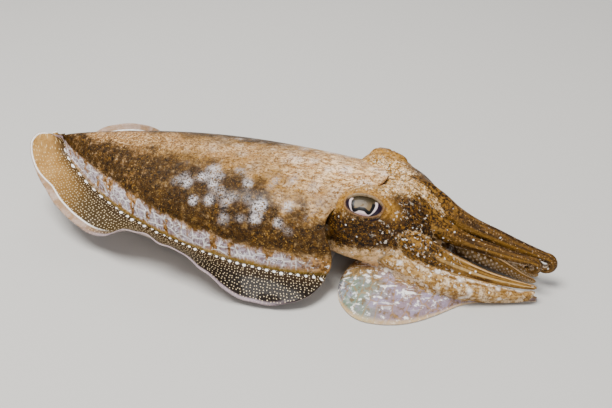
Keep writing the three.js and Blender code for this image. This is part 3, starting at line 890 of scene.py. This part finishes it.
class NodeBench:
    """Makes the nodes of one material."""

    def __init__(self, name: str) -> None:
        """Starts an empty material with its output and main shader."""
        self.material = bpy.data.materials.new(name)
        self.material.use_nodes = True
        self.tree = self.material.node_tree
        self.tree.nodes.clear()
        output = self.tree.nodes.new("ShaderNodeOutputMaterial")
        self.shader = self.tree.nodes.new("ShaderNodeBsdfPrincipled")
        self.tree.links.new(self.shader.outputs["BSDF"], output.inputs["Surface"])

    @cached_property
    def where(self) -> Value:
        """The place on the object, in millimetres."""
        place = self.node("ShaderNodeTexCoord", {}, {}, "Object")
        return self.node("ShaderNodeVectorMath", {"operation": "SCALE"}, {0: place, "Scale": 1 / MM})

    def node(self, kind: str, settings: dict[str, Any], values: Any, output: Any = 0) -> Value:
        """Adds any node.

        Args:
            kind: the node's type.
            settings: its properties, set before its sockets.
            values: a list for the first sockets, or a dict by socket name or number.
            output: the output's number or name.

        Returns:
            The output as a value.
        """
        made = self.tree.nodes.new(kind)
        for key, setting in settings.items():
            setattr(made, key, setting)
        pairs = values.items() if isinstance(values, dict) else enumerate(values)
        for key, value in pairs:
            self.feed(made.inputs[key], value)
        return Value(self, made.outputs[output])

    def feed(self, socket: Any, value: Any) -> None:
        """Links a value to a socket, or sets the socket's own number or colour."""
        if isinstance(value, Value):
            self.tree.links.new(value.socket, socket)
        elif isinstance(value, tuple) and len(value) == 3 and socket.type == "RGBA":
            socket.default_value = (*value, 1.0)
        else:
            socket.default_value = value

    def attribute(self, name: str) -> tuple[Value, Value, Value]:
        """The three parts of a stored vector."""
        vector = self.node("ShaderNodeAttribute", {"attribute_name": name}, {}, "Vector")
        x = self.node("ShaderNodeSeparateXYZ", {}, [vector])
        return tuple(Value(self, part) for part in x.socket.node.outputs)

    def vector(self, x: Any, y: Any, z: Any = 0.0) -> Value:
        """A vector from three numbers."""
        return self.node("ShaderNodeCombineXYZ", {}, [x, y, z])

    def noise(
        self,
        size: float,
        detail: float = 3.0,
        rough: float = 0.55,
        swirl: float = 0.0,
        on: Value | None = None,
    ) -> Value:
        """Noise whose features are about size millimetres across."""
        values = {"Vector": on or self.where, "Scale": 1.0 / size, "Detail": detail, "Roughness": rough}
        return self.node("ShaderNodeTexNoise", {}, {**values, "Distortion": swirl})

    def cells(
        self,
        size: float,
        feature: str = "F1",
        chaos: float = 1.0,
        on: Value | None = None,
    ) -> Value:
        """Cells about size millimetres across, flat on a given sheet; distances come in cells."""
        settings = {"feature": feature, "voronoi_dimensions": "2D" if on else "3D"}
        values = {"Vector": on or self.where, "Scale": 1.0 / size, "Randomness": chaos}
        return self.node("ShaderNodeTexVoronoi", settings, values, "Distance")

    def mix(self, factor: Any, first: Any, second: Any) -> Value:
        """Mixes two colours."""
        return self.node("ShaderNodeMix", {"data_type": "RGBA"}, {0: factor, 6: first, 7: second}, 2)

    def layers(self, ground: Any, *coats: tuple[Any, Any]) -> Any:
        """Lays coats over a ground colour, each given as its mask and its colour."""
        for mask, colour in coats:
            ground = self.mix(mask, ground, colour)
        return ground

    def bump(self, height: Value, depth: float) -> Value:
        """A bump of a height between 0 and 1, depth millimetres deep."""
        values = {"Height": height, "Distance": depth * MM, "Strength": 1.0}
        return self.node("ShaderNodeBump", {}, values, "Normal")

    def set(self, **sockets: Any) -> None:
        """Sets or links sockets of the main shader; underscores stand for spaces."""
        for name, value in sockets.items():
            self.feed(self.shader.inputs[name.replace("_", " ")], value)


@dataclass(frozen=True)
class SkinFinish:
    """The living skin: streaked back, dark flank, broken pearly row, dotted fins, pale keels."""

    cream: Colour = (0.93, 0.61, 0.32)
    blush: Colour = (0.47, 0.23, 0.075)
    tan: Colour = (0.36, 0.175, 0.040)
    brown: Colour = (0.105, 0.040, 0.004)
    dark: Colour = (0.006, 0.002, 0.0004)
    amber: Colour = (0.20, 0.088, 0.008)
    white: Colour = (0.97, 0.95, 0.93)
    gold: Colour = (0.40, 0.20, 0.032)
    olive: Colour = (0.10, 0.062, 0.003)
    lilac: Colour = (0.28, 0.20, 0.235)
    green: Colour = (0.15, 0.24, 0.17)
    flesh: Colour = (0.48, 0.245, 0.075)

    def build(self) -> bpy.types.Material:
        """Makes the skin's material."""
        bench = NodeBench("cuttlefish_skin")
        along, turn, reach = bench.attribute("place")
        fin, arm, keel = bench.attribute("kind")
        share, outer, pair = bench.attribute("limb")
        body = self.trunk(bench, along, turn)
        neck = (along - (bench.noise(3.0) - 0.5) * 4.0).step(174.0, 178.0)
        neck = neck * reach.step(0.25, 0.75)
        body = bench.layers(
            body,
            (neck, self.head(bench, along, turn, share, outer)),
            (arm, self.limb(bench, along, share, outer, pair)),
            (keel, self.keel(bench, along, turn, reach)),
            (fin, self.fin(bench, along, turn, share, pair)),
        )
        height = bench.noise(0.8, 4.0, 0.65) * 0.6 + bench.cells(1.5, "SMOOTH_F1") * 0.6
        height = height + bench.noise(3.2, 3.0, 0.5) * 0.9 * (1.0 - fin)
        bench.set(
            Base_Color=body,
            Roughness=bench.noise(2.2).step(0.25, 0.75) * 0.25 + 0.32,
            Coat_Weight=0.06,
            Coat_Roughness=0.12,
            Specular_IOR_Level=0.14,
            Normal=bench.bump(height, 0.65),
        )
        return bench.material

    def trunk(self, bench: NodeBench, along: Value, turn: Value) -> Value:
        """The mantle's colours."""
        wide, mid = bench.noise(17.0), bench.noise(4.5, 4.0)
        fine, grain = bench.noise(1.5, 3.0, 0.65), bench.noise(0.8, 2.0, 0.6)
        lines = bench.vector(along * 0.34, turn * 58.0)
        streak = bench.noise(1.5, 4.0, 0.62, 0.4, on=lines)
        rear = along.step(125.0, 35.0)
        front = (along + (wide - 0.5) * 60.0).step(112.0, 148.0)
        curly = bench.noise(1.7, 4.0, 0.66, 1.2)
        pattern = curly + (streak - curly) * front
        mesh = bench.cells(2.1, "DISTANCE_TO_EDGE").step(0.12, 0.01) * (1.0 - front)
        net = bench.cells(2.3, "DISTANCE_TO_EDGE", on=bench.vector(along * 0.7, turn * 62.0))
        pale = bench.cells(9.5, "SMOOTH_F1").step(0.46, 0.14) * along.step(70.0, 100.0) * turn.step(0.62, 0.4)
        upper = along.step(118.0, 160.0) * 0.33 + 0.14 - along.step(26.0, 4.0) * 0.4
        lower = along.step(8.0, 130.0) * 0.16 + 0.69
        wobble = (bench.noise(11.0, 5.0, 0.62) - 0.5) * 0.6
        veil = (turn + wobble * 0.8 - upper + front * 0.12).step(-0.34, 0.06) * along.step(40.0, 90.0)
        olive = bench.mix(fine.step(0.40, 0.58), (0.30, 0.155, 0.022), (0.12, 0.052, 0.004))
        top = (turn + wobble - upper).step(-0.07, 0.12)
        base = (turn + wobble * 0.25 - lower).step(0.05, -0.05)
        broken = bench.noise(3.0, 4.0, 0.7).step(0.30, 0.50) * 0.5 + 0.5
        clouds = (wide * 0.5 + mid * 0.5).step(0.40, 0.60)
        mottled = bench.layers(
            self.dark,
            (fine.step(0.40, 0.58), (0.050, 0.021, 0.002)),
            (bench.noise(2.2, 4.0, 0.7).step(0.52, 0.66) * (clouds * 0.6 + 0.1), self.amber),
            (grain.step(0.61, 0.67) * (clouds * 0.5 + 0.25), (0.44, 0.25, 0.055)),
        )
        spots = bench.cells(8.5, "SMOOTH_F1").step(0.48, 0.06) * (fine * 0.6 + grain * 0.6).step(0.50, 0.66)
        zone = turn.peak(0.44, 0.36) * along.step(78.0, 104.0) * along.step(178.0, 160.0)
        ground = bench.layers(
            self.tan,
            ((pattern - rear * 0.05).step(0.42, 0.57), self.cream),
            ((wide * 0.6 + mid * 0.4).step(0.46, 0.60) * 0.7, self.blush),
            ((net.step(0.13, 0.01) * front + mesh) * mid.step(0.36, 0.56) * (rear * 0.2 + 0.6), self.brown),
            ((fine + rear * 0.05).step(0.53, 0.61) * 0.85, self.brown),
            (grain.step(0.57, 0.65) * (0.65 - rear * 0.25), (1.0, 0.78, 0.52)),
            (pale * fine.step(0.60, 0.42) * 0.5, (0.94, 0.84, 0.76)),
            (veil * (mid.step(0.30, 0.60) * 0.4 + 0.45), olive),
            (top * base * broken, mottled),
            (spots * zone.step(0.05, 0.45) * 0.8, (0.84, 0.80, 0.83)),
        )
        side = self.pearls(bench, along, turn, lower, ground)
        belly = bench.mix(mid.step(0.3, 0.7), (0.55, 0.46, 0.40), (0.74, 0.68, 0.63))
        return bench.mix(turn.step(1.0, 1.07), side, belly)

    def pearls(self, bench: NodeBench, along: Value, turn: Value, lower: Value, ground: Value) -> Value:
        """The broken pearly row between the dark flank and the fin."""
        sheet = bench.vector(along * 0.8, turn * 62.0)
        edge = bench.cells(5.2, "DISTANCE_TO_EDGE", on=sheet)
        thread = bench.cells(3.4, "DISTANCE_TO_EDGE", on=bench.vector(along * 1.1, turn * 40.0, 3.0))
        wander = (bench.noise(5.0, 3.0) - 0.5) * 0.10
        zone = (turn + wander * 1.6 - lower).step(-0.02, 0.05) * (turn + wander * 0.5).step(0.99, 0.94)
        gaps = bench.noise(7.5, 3.0, 0.6, on=bench.vector(along, turn * 25.0, 7.0))
        filled = zone * gaps.step(0.40, 0.50) * along.step(178.0, 150.0)
        mid_gate = bench.noise(4.0, 2.0).step(0.45, 0.55)
        warm = bench.mix(bench.noise(2.5, 4.0).step(0.42, 0.60), self.brown, self.flesh)
        shine = bench.mix(bench.noise(2.0, 3.0).step(0.4, 0.6), (0.56, 0.50, 0.60), (0.26, 0.19, 0.21))
        line = turn.step(0.95, 1.0) * turn.step(1.05, 1.01)
        return bench.layers(
            ground,
            (zone * 0.85, warm),
            (filled * 0.9, shine),
            (filled * edge.step(0.09, 0.03) * 0.9, self.white),
            (filled * thread.step(0.05, 0.01) * mid_gate, self.white),
            (zone * bench.noise(1.6, 2.0).step(0.60, 0.68) * 0.8, self.white),
            (line * 0.9, self.olive),
        )

    def head(self, bench: NodeBench, along: Value, turn: Value, ring: Value, across: Value) -> Value:
        """The head's colours, with the lids round the eyes."""
        mid, fine, grain = bench.noise(4.0, 4.0), bench.noise(1.5, 3.0, 0.65), bench.noise(0.8, 2.0, 0.6)
        wobble = (bench.noise(7.0, 5.0, 0.62) - 0.5) * 0.55
        upper = 0.60 - along.step(196.0, 214.0) * 0.30
        band = (turn + wobble - upper).step(-0.10, 0.10) * (turn + wobble * 0.5).step(1.12, 0.98)
        mottled = bench.layers(
            self.dark,
            (fine.step(0.42, 0.60), (0.060, 0.023, 0.002)),
            (bench.noise(2.0, 4.0, 0.7).step(0.54, 0.66), self.amber),
            (grain.step(0.61, 0.68) * 0.7, (0.46, 0.24, 0.04)),
        )
        low = (turn + (mid - 0.5) * 0.3).step(1.02, 1.16)
        lower = bench.mix(mid.step(0.32, 0.58), (0.56, 0.32, 0.10), self.cream)
        # Small white flecks are painted glints: highlights of wet skin put into the colour.
        glint_flecks = bench.cells(3.4, "F1").step(0.21, 0.10) * bench.noise(6.0).step(0.46, 0.58)
        # Painted highlight: clusters of bright silvery glints over whitish iridescent skin, put into the
        # colour.
        silver_glints = bench.noise(2.4, 4.0, 0.65).step(0.58, 0.65) * along.step(196.0, 206.0) * turn.step(0.3, 0.6)
        rim = bench.mix(fine.step(0.38, 0.60), (0.44, 0.22, 0.035), self.amber)
        lid = bench.mix(fine.step(0.35, 0.65), (0.30, 0.20, 0.10), (0.48, 0.36, 0.22))
        return bench.layers(
            self.gold,
            ((mid - along.step(206.0, 186.0) * 0.06).step(0.44, 0.62), self.cream),
            (fine.step(0.45, 0.57) * 0.9, (0.10, 0.044, 0.005)),
            (grain.step(0.56, 0.64) * 0.75, (0.95, 0.80, 0.58)),
            (band, mottled),
            (low, bench.mix(fine.step(0.5, 0.62) * 0.5, lower, self.amber)),
            (glint_flecks * 0.9, self.white),
            (silver_glints * 0.8, (0.84, 0.74, 0.62)),
            (ring.step(2.5, 1.5) * (across + 3.0).step(-3.0, 3.0) * 0.85, rim),
            (ring.step(1.24, 1.14) * 0.7, (0.26, 0.14, 0.07)),
            (ring.peak(1.03, 0.13), (0.02, 0.008, 0.008)),
            (ring.step(1.18, 1.06) * across.step(1.5, 3.5) * 0.8, lid),
            (ring.step(0.98, 0.90), (0.03, 0.015, 0.02)),
        )

    def limb(self, bench: NodeBench, along: Value, share: Value, outer: Value, pair: Value) -> Value:
        """The arms' colours: dark upper pair, brown second and golden third pair."""
        mid, fine, grain = bench.noise(4.0, 4.0), bench.noise(1.3, 3.0, 0.65), bench.noise(0.8, 2.0, 0.6)
        streak = bench.noise(1.0, 4.0, 0.6, on=bench.vector(share * 9.0, outer * 11.0, pair * 3.0))
        first = bench.layers(
            (0.026, 0.010, 0.001),
            (streak.step(0.38, 0.62), (0.125, 0.056, 0.006)),
            (outer.peak(0.60, 0.12) * 0.4, (0.30, 0.15, 0.022)),
            (fine.step(0.60, 0.70) * 0.5, self.cream),
        )
        second = bench.layers(
            (0.070, 0.028, 0.003),
            (streak.step(0.38, 0.60), (0.25, 0.125, 0.020)),
            (outer.peak(0.82, 0.10).step(0.2, 0.8) * 0.7, (0.55, 0.36, 0.15)),
            (outer.peak(0.50, 0.10).step(0.2, 0.8) * 0.5, self.cream),
        )
        third = bench.layers(
            (0.20, 0.095, 0.014),
            (streak.step(0.35, 0.62), (0.46, 0.27, 0.09)),
            (mid.step(0.46, 0.60) * 0.8, (0.82, 0.62, 0.40)),
            (outer.peak(0.46, 0.10).step(0.2, 0.8) * 0.75, (0.86, 0.68, 0.52)),
            (outer.peak(0.60, 0.07) * 0.7, (0.16, 0.07, 0.010)),
            (fine.step(0.50, 0.60) * 0.7, self.brown),
            (bench.cells(6.0, "SMOOTH_F1").step(0.34, 0.08) * 0.75, (0.95, 0.90, 0.86)),
        )
        base = bench.mix(fine.step(0.44, 0.60), self.dark, self.amber)
        base = bench.mix(bench.noise(4.0, 3.0).step(0.54, 0.64) * 0.6, base, self.gold)
        near = (along + mid * 18.0 - 9.0).step(250.0, 226.0) * pair.step(2.9, 2.1)
        # Painted highlight: clusters of bright silvery glints over whitish iridescent skin at the arms'
        # bases, put into the colour.
        silver_glints = bench.noise(2.2, 4.0, 0.65).step(0.58, 0.65) * (along + pair * -8.0).step(240.0, 212.0)
        silver_glints = silver_glints * pair.step(1.2, 1.8)
        inner = bench.mix(mid.step(0.3, 0.7), (0.34, 0.20, 0.07), (0.50, 0.34, 0.16))
        # Small white flecks are painted glints: highlights of wet skin put into the colour.
        glint_flecks = bench.cells(3.4, "F1").step(0.22, 0.10) * bench.noise(6.0).step(0.50, 0.60)
        return bench.layers(
            bench.mix(pair.step(1.4, 1.6), first, second),
            (pair.step(2.4, 2.6), third),
            (near * 0.9, base),
            (silver_glints * 0.9, (0.84, 0.76, 0.68)),
            (outer.step(0.26, 0.12) * 0.85, inner),
            (grain.step(0.60, 0.70) * 0.5, self.gold),
            (glint_flecks * 0.9, self.white),
        )

    def keel(self, bench: NodeBench, along: Value, turn: Value, reach: Value) -> Value:
        """The pale keels of the lowest arms."""
        wide, mid, fine = bench.noise(9.0, 3.0), bench.noise(3.2, 4.0, 0.6), bench.noise(1.2, 3.0, 0.6)
        shade = (along + (wide - 0.5) * 30.0).step(216.0, 192.0)
        crest = (reach + (wide - 0.5) * 0.8).step(0.50, 0.16)
        rust = bench.mix(fine.step(0.42, 0.58), (0.36, 0.19, 0.045), (0.13, 0.058, 0.008))
        folds = bench.cells(7.0, "DISTANCE_TO_EDGE", on=bench.vector(along * 1.2, reach * 22.0))
        sheen = bench.noise(1.6, 3.0, 0.6, on=bench.vector(along * 0.22, reach * 26.0, 5.0))
        glint = bench.cells(3.4, "F1").step(0.24, 0.12) * bench.noise(5.0).step(0.5, 0.6)
        specks = fine.step(0.50, 0.60) * reach.step(0.35, 0.0)
        return bench.layers(
            self.lilac,
            (shade * 0.85, self.green),
            (wide.step(0.46, 0.62) * 0.6, (0.33, 0.29, 0.43)),
            (crest * 0.8, rust),
            (mid.step(0.46, 0.37) * 0.8, (0.17, 0.10, 0.035)),
            (folds.step(0.08, 0.0) * 0.7, (0.34, 0.19, 0.06)),
            (mid.step(0.57, 0.66) * 0.9, self.white),
            (sheen.step(0.57, 0.66) * reach.step(0.9, 0.6) * 0.95, self.white),
            (glint, self.white),
            (specks * 0.85, (0.20, 0.085, 0.02)),
            (reach.step(0.90, 0.97) * 0.6, (0.66, 0.48, 0.24)),
            (turn.step(1.4, 1.8), (0.62, 0.54, 0.49)),
        )

    def fin(self, bench: NodeBench, along: Value, turn: Value, out_mm: Value, width: Value) -> Value:
        """The dotted fins with their row of root spots, white line and clear margin."""
        mid = bench.noise(6.0, 3.0)
        far = (along + out_mm * -0.7 + (mid - 0.5) * 16.0).step(-8.0, 38.0)
        forward = (along + (mid - 0.5) * 30.0).step(70.0, 125.0)
        dark = bench.mix(forward, (0.050, 0.029, 0.007), (0.007, 0.003, 0.0006))
        gold = bench.mix(mid.step(0.3, 0.7), (0.33, 0.165, 0.035), (0.48, 0.265, 0.075))
        sheet = bench.vector(along, out_mm)
        dots = bench.cells(1.65, "F1", 0.55, on=sheet).step(0.215, 0.09)
        inner = width - 0.7 - along.step(8.0, 24.0) * 3.6
        rear = along.step(66.0, 46.0)
        margin = (out_mm - inner).step(0.0, 0.6) * rear
        rim = (out_mm - width).step(-2.2, -0.8) * along.step(46.0, 66.0) * along.step(165.0, 140.0)
        under = bench.mix(mid.step(0.3, 0.7), self.lilac, (0.52, 0.42, 0.36))
        return bench.layers(
            gold,
            (far, dark),
            ((out_mm + (mid - 0.5) * 3.0).step(11.0, 1.0) * 0.95, (0.026, 0.011, 0.001)),
            (dots * (far * 0.2 + 0.75), bench.mix(far, (0.80, 0.58, 0.28), (0.80, 0.64, 0.40))),
            (self.root_dots(bench, along, out_mm), self.white),
            (margin * 0.9, bench.mix(mid.step(0.4, 0.6), (0.36, 0.22, 0.12), (0.48, 0.34, 0.27))),
            ((out_mm - inner).math("ABSOLUTE").step(0.62, 0.25) * rear, self.white),
            (rim * 0.85, (0.46, 0.36, 0.40)),
            (turn.step(1.2, 1.4), under),
        )

    @staticmethod
    def root_dots(bench: NodeBench, along: Value, out_mm: Value) -> Value:
        """The row of larger white spots beside the fin's root, smaller and closer at the tail."""
        place = along * 0.24 + along.step(60.0, 0.0) * 4.0
        index = place.math("FLOOR")
        jitter = bench.node("ShaderNodeTexWhiteNoise", {"noise_dimensions": "1D"}, {"W": index}, "Value")
        dx = (place - index - 0.5) * 4.0 + (jitter - 0.5) * 0.9
        dy = out_mm - 1.1 - jitter * 1.2
        away = (dx * dx * 1.3 + dy * dy).math("SQRT")
        return (away - jitter * 0.3).step(1.0, 0.62)


@dataclass(frozen=True)
class EyeFinish:
    """The eye: an olive upper part under painted shadow of the upper lid, a W-shaped pupil and a white
    crescent between dark corners.
    """

    iris: Colour = (0.15, 0.10, 0.045)
    # Dark olive for the top of the eye: partly its own darker colour, partly painted shadow of the upper lid.
    shade: Colour = (0.026, 0.018, 0.007)
    pale: Colour = (0.66, 0.53, 0.53)
    rose: Colour = (0.34, 0.17, 0.20)
    black: Colour = (0.002, 0.002, 0.003)
    plum: Colour = (0.012, 0.005, 0.014)

    def build(self) -> bpy.types.Material:
        """Makes the eye's material."""
        bench = NodeBench("cuttlefish_eye")
        x, y, _ = bench.attribute("gaze")
        fine = bench.noise(0.6, 3.0)
        side = (x + 0.04).math("ABSOLUTE")
        gap = y - self.fold(side)
        rest = gap.step(0.02, -0.05)
        bow = (y - 0.1) * (y - 0.1) * 0.22
        line = gap.math("ABSOLUTE").step(0.23, 0.14) * side.step(0.66, 0.58)
        leg = (side + bow).peak(0.60, 0.15).step(0.1, 0.5) * y.step(-0.52, -0.40) * y.step(0.36, 0.16)
        corner = (side + bow * 1.6).step(0.80, 0.86)
        colour = bench.layers(
            self.iris,
            # Darker towards the top: partly the eye's own darker olive, partly painted shadow of the upper
            # lid.
            ((y + (fine - 0.5) * 0.3).step(-0.25, 0.55), self.shade),
            (rest, self.pale),
            ((side + bow).step(0.64, 0.68) * y.step(0.52, 0.36), self.pale),
            ((y + x * x * 0.5).step(-0.74, -0.90) * 0.75, self.rose),
            (line.math("MAXIMUM", leg), self.black),
            (corner, self.plum),
            # Painted shadow of the upper lid along the top edge.
            (y.step(0.62, 0.80) * 0.8, self.shade),
        )
        bench.set(Base_Color=colour, Roughness=0.35, Specular_IOR_Level=0.12)
        bench.set(Coat_Weight=0.08, Coat_Roughness=0.05)
        return bench.material

    @staticmethod
    def fold(side: Value) -> Value:
        """Height of the pupil's slit at a distance from its middle."""
        return side.peak(0.40, 0.30) * -0.22 + side.step(0.48, 0.62) * 0.12 - 0.44


class EyeMaker:
    """Builds the two eyeballs."""

    rings = 60
    sides = 96
    pole = 0.004
    flattening = 0.12

    def __init__(self, animal: Animal) -> None:
        """Keeps the animal and makes the finish."""
        self.animal = animal
        self.finish = EyeFinish().build()

    def build(self, side: Side) -> bpy.types.Object:
        """Builds one eyeball, an ellipsoid that carries the gaze coordinates."""
        eye = self.animal.eye
        forward, across, out = eye.axes(side)
        rows = np.linspace(self.pole, math.pi - self.pole, self.rings)
        lat, lon = np.meshgrid(rows, around(self.sides), indexing="ij")
        x, y, z = np.sin(lat) * np.cos(lon), np.sin(lat) * np.sin(lon), np.cos(lat)
        flat = z * (1 - self.flattening * (z > 0) * (1 - np.hypot(x, y)))
        centre = eye.middle(side) - out * (eye.sink + eye.set_back)
        rings = (
            centre
            + forward * (x * eye.half_length)[..., None]
            + across * (y * eye.half_height)[..., None]
            + out * (flat * eye.half_depth)[..., None]
        )
        high = (y * eye.half_height - eye.opening_raise) / eye.opening_height
        gaze = grid(x * eye.half_length / eye.opening_length, high, z)
        patch = Patch.loft(rings, gaze)
        ball = new_object(f"eyeball_{side.word}", patch.points.tolist(), patch.faces)
        store(ball, "gaze", patch.place)
        write_points(ball, (patch.points + self.animal.shift) * MM)
        ball.data.materials.append(self.finish)
        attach(ball, BODY)
        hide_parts(f"eye_{side.word}")
        return ball


@dataclass(frozen=True)
class SuckerRows:
    """The rows of small stalked suckers on the inner side of the arms."""

    columns: Sequence[float] = (-0.62, -0.22, 0.22, 0.62)
    spacing: float = 0.42
    size: float = 0.17
    first: float = 0.36
    last: float = 0.985
    seat: float = 0.3
    steps: int = 60
    sides: int = 10
    outline: Sequence[tuple[float, float]] = (
        (0.55, 0.0), (0.75, 0.5), (1.0, 0.85), (0.86, 1.12), (0.6, 1.0), (0.3, 0.72)
    )
    foot: float = -0.1
    hollow: float = 0.66

    def build(self, animal: Animal) -> bpy.types.Object:
        """Sets every arm's suckers and joins them in one piece."""
        cups = [self.cup(*seat) for arm in animal.arms for seat in self.seats(arm)]
        step = len(cups[0].points)
        faces = [tuple(i * step + k for k in face) for i, cup in enumerate(cups) for face in cup.faces]
        points = np.concatenate([cup.points for cup in cups])
        made = new_object("suckers", points.tolist(), faces)
        write_points(made, (points + animal.shift) * MM)
        made.data.materials.append(self.finish())
        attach(made, BODY)
        return made

    def seats(self, arm: Arm) -> list[tuple[Array, Array, Array, float]]:
        """Where one arm's suckers sit: place, direction out, direction along and radius."""
        _, points, tangents, radii = arm.course(self.steps)
        across, upward = arm.frames(tangents)
        travelled = np.concatenate([[0.0], np.cumsum(np.linalg.norm(np.diff(points, axis=0), axis=1))])
        seats, at, row = [], travelled[-1] * self.first, 0
        while at < travelled[-1] * self.last:
            i = int(np.searchsorted(travelled, at))
            radius = radii[i] * self.size
            for k, column in enumerate(self.columns):
                if (k + row) % 2:
                    continue
                angle = arm.oral + column
                out = across[i] * math.cos(angle) + upward[i] * math.sin(angle)
                height = radii[i] * arm.flatness(column) - radius * self.seat
                seats.append((points[i] + out * height, out, tangents[i], radius))
            at += radii[i] * self.spacing
            row += 1
        return seats

    def cup(self, centre: Array, out: Array, side: Array, radius: float) -> Patch:
        """One sucker: a short stalk with a rim round a hollow."""
        angle = around(self.sides)[:, None]
        circle = side * np.cos(angle) + np.cross(out, side) * np.sin(angle)
        rings = [centre + circle * radius * reach + out * radius * height for reach, height in self.outline]
        caps = [centre + out * radius * height for height in (self.foot, self.hollow)]
        return Patch.loft(np.stack(rings), caps=caps)

    @staticmethod
    def finish() -> bpy.types.Material:
        """Makes the suckers' pale, wet finish."""
        bench = NodeBench("sucker_skin")
        mid = bench.noise(2.5, 3.0)
        fine = bench.noise(0.4, 2.0)
        colour = bench.layers(
            (0.50, 0.36, 0.22),
            (mid.step(0.35, 0.65), (0.66, 0.54, 0.42)),
            (fine.step(0.5, 0.7) * 0.5, (0.34, 0.20, 0.10)),
        )
        bench.set(Base_Color=colour, Roughness=0.35, Specular_IOR_Level=0.3)
        bench.set(Coat_Weight=0.15, Normal=bench.bump(fine, 0.05))
        return bench.material


@dataclass(frozen=True)
class Studio:
    """Floor, light and camera."""

    azimuth: float = 19.16
    elevation: float = 32.87
    roll: float = -0.61
    distance: float = 510.4
    lens: float = 47.87
    target: tuple[float, float, float] = (139.1, 42.4, -2.2)
    floor_half: float = 6.0
    floor_height: float = -0.0002

    def build(self, shift: Array) -> None:
        """Makes the floor, lights, world and camera."""
        self.floor()
        self.lights()
        self.camera(shift)

    def floor(self) -> None:
        """A plain pale floor."""
        half = self.floor_half
        corners = [(-half, -half, 0), (half, -half, 0), (half, half, 0), (-half, half, 0)]
        floor = new_object("floor", corners, [(0, 1, 2, 3)])
        floor.location.z = self.floor_height
        bench = NodeBench("pale_floor")
        bench.set(Base_Color=(0.56, 0.55, 0.53), Roughness=0.85)
        floor.data.materials.append(bench.material)

    def lights(self) -> None:
        """A wide soft light overhead, with weaker ones in front and behind, and a pale world."""
        rows = (
            ("key", (-0.20, -0.32, 1.15), 0.6, 25.5, (1.0, 0.98, 0.94)),
            ("fill", (0.9, -1.0, 0.6), 1.0, 4.6, (0.98, 0.98, 1.0)),
            ("rim", (-0.3, 1.1, 0.8), 0.9, 4.0, (1.0, 1.0, 1.0)),
        )
        for name, place, size, power, colour in rows:
            data = bpy.data.lights.new(name, "AREA")
            data.shape, data.size, data.energy, data.color = "DISK", size, power, colour
            light = bpy.data.objects.new(name, data)
            light.location = place
            light.rotation_mode = "QUATERNION"
            light.rotation_quaternion = (-Vector(place)).to_track_quat("-Z", "Y")
            bpy.context.scene.collection.objects.link(light)
        world = bpy.data.worlds.new("studio")
        world.use_nodes = True
        sky = world.node_tree.nodes["Background"].inputs
        sky["Color"].default_value = (0.97, 0.97, 0.98, 1.0)
        sky["Strength"].default_value = 0.40
        bpy.context.scene.world = world

    def camera(self, shift: Array) -> None:
        """The camera at the photograph's angle."""
        a, e = math.radians(self.azimuth), math.radians(self.elevation)
        back = Vector((math.sin(a) * math.cos(e), -math.cos(a) * math.cos(e), math.sin(e)))
        target = Vector((np.array(self.target) + shift) * MM)
        data = bpy.data.cameras.new("camera")
        data.lens = self.lens
        data.clip_start = 0.01
        camera = bpy.data.objects.new("camera", data)
        camera.rotation_mode = "QUATERNION"
        camera.location = target + back * self.distance * MM
        roll = Matrix.Rotation(math.radians(self.roll), 3, "Z").to_quaternion()
        camera.rotation_quaternion = (-back).to_track_quat("-Z", "Y") @ roll
        bpy.context.scene.collection.objects.link(camera)
        bpy.context.scene.camera = camera


def flesh_nodes() -> list[str]:
    """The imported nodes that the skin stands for."""
    return [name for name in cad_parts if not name.startswith("eye")]


def main() -> None:
    """Builds the cuttlefish and its studio in order."""
    logging.basicConfig(level=logging.INFO, format="%(message)s")
    animal = Animal()
    LOG.info("shift to the packed place: %s mm", np.round(animal.shift, 3).tolist())
    Studio().build(animal.shift)
    skin = SkinMaker(animal).build()
    skin.data.materials.clear()
    skin.data.materials.append(SkinFinish().build())
    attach(skin, BODY)
    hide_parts(*flesh_nodes())
    LOG.info("skin: %d faces", len(skin.data.polygons))
    eyes = EyeMaker(animal)
    for side in Side:
        ball = eyes.build(side)
        LOG.info("%s: %d faces", ball.name, len(ball.data.polygons))
    cups = SuckerRows().build(animal)
    LOG.info("suckers: %d faces", len(cups.data.polygons))


if __name__ == "__main__":
    main()
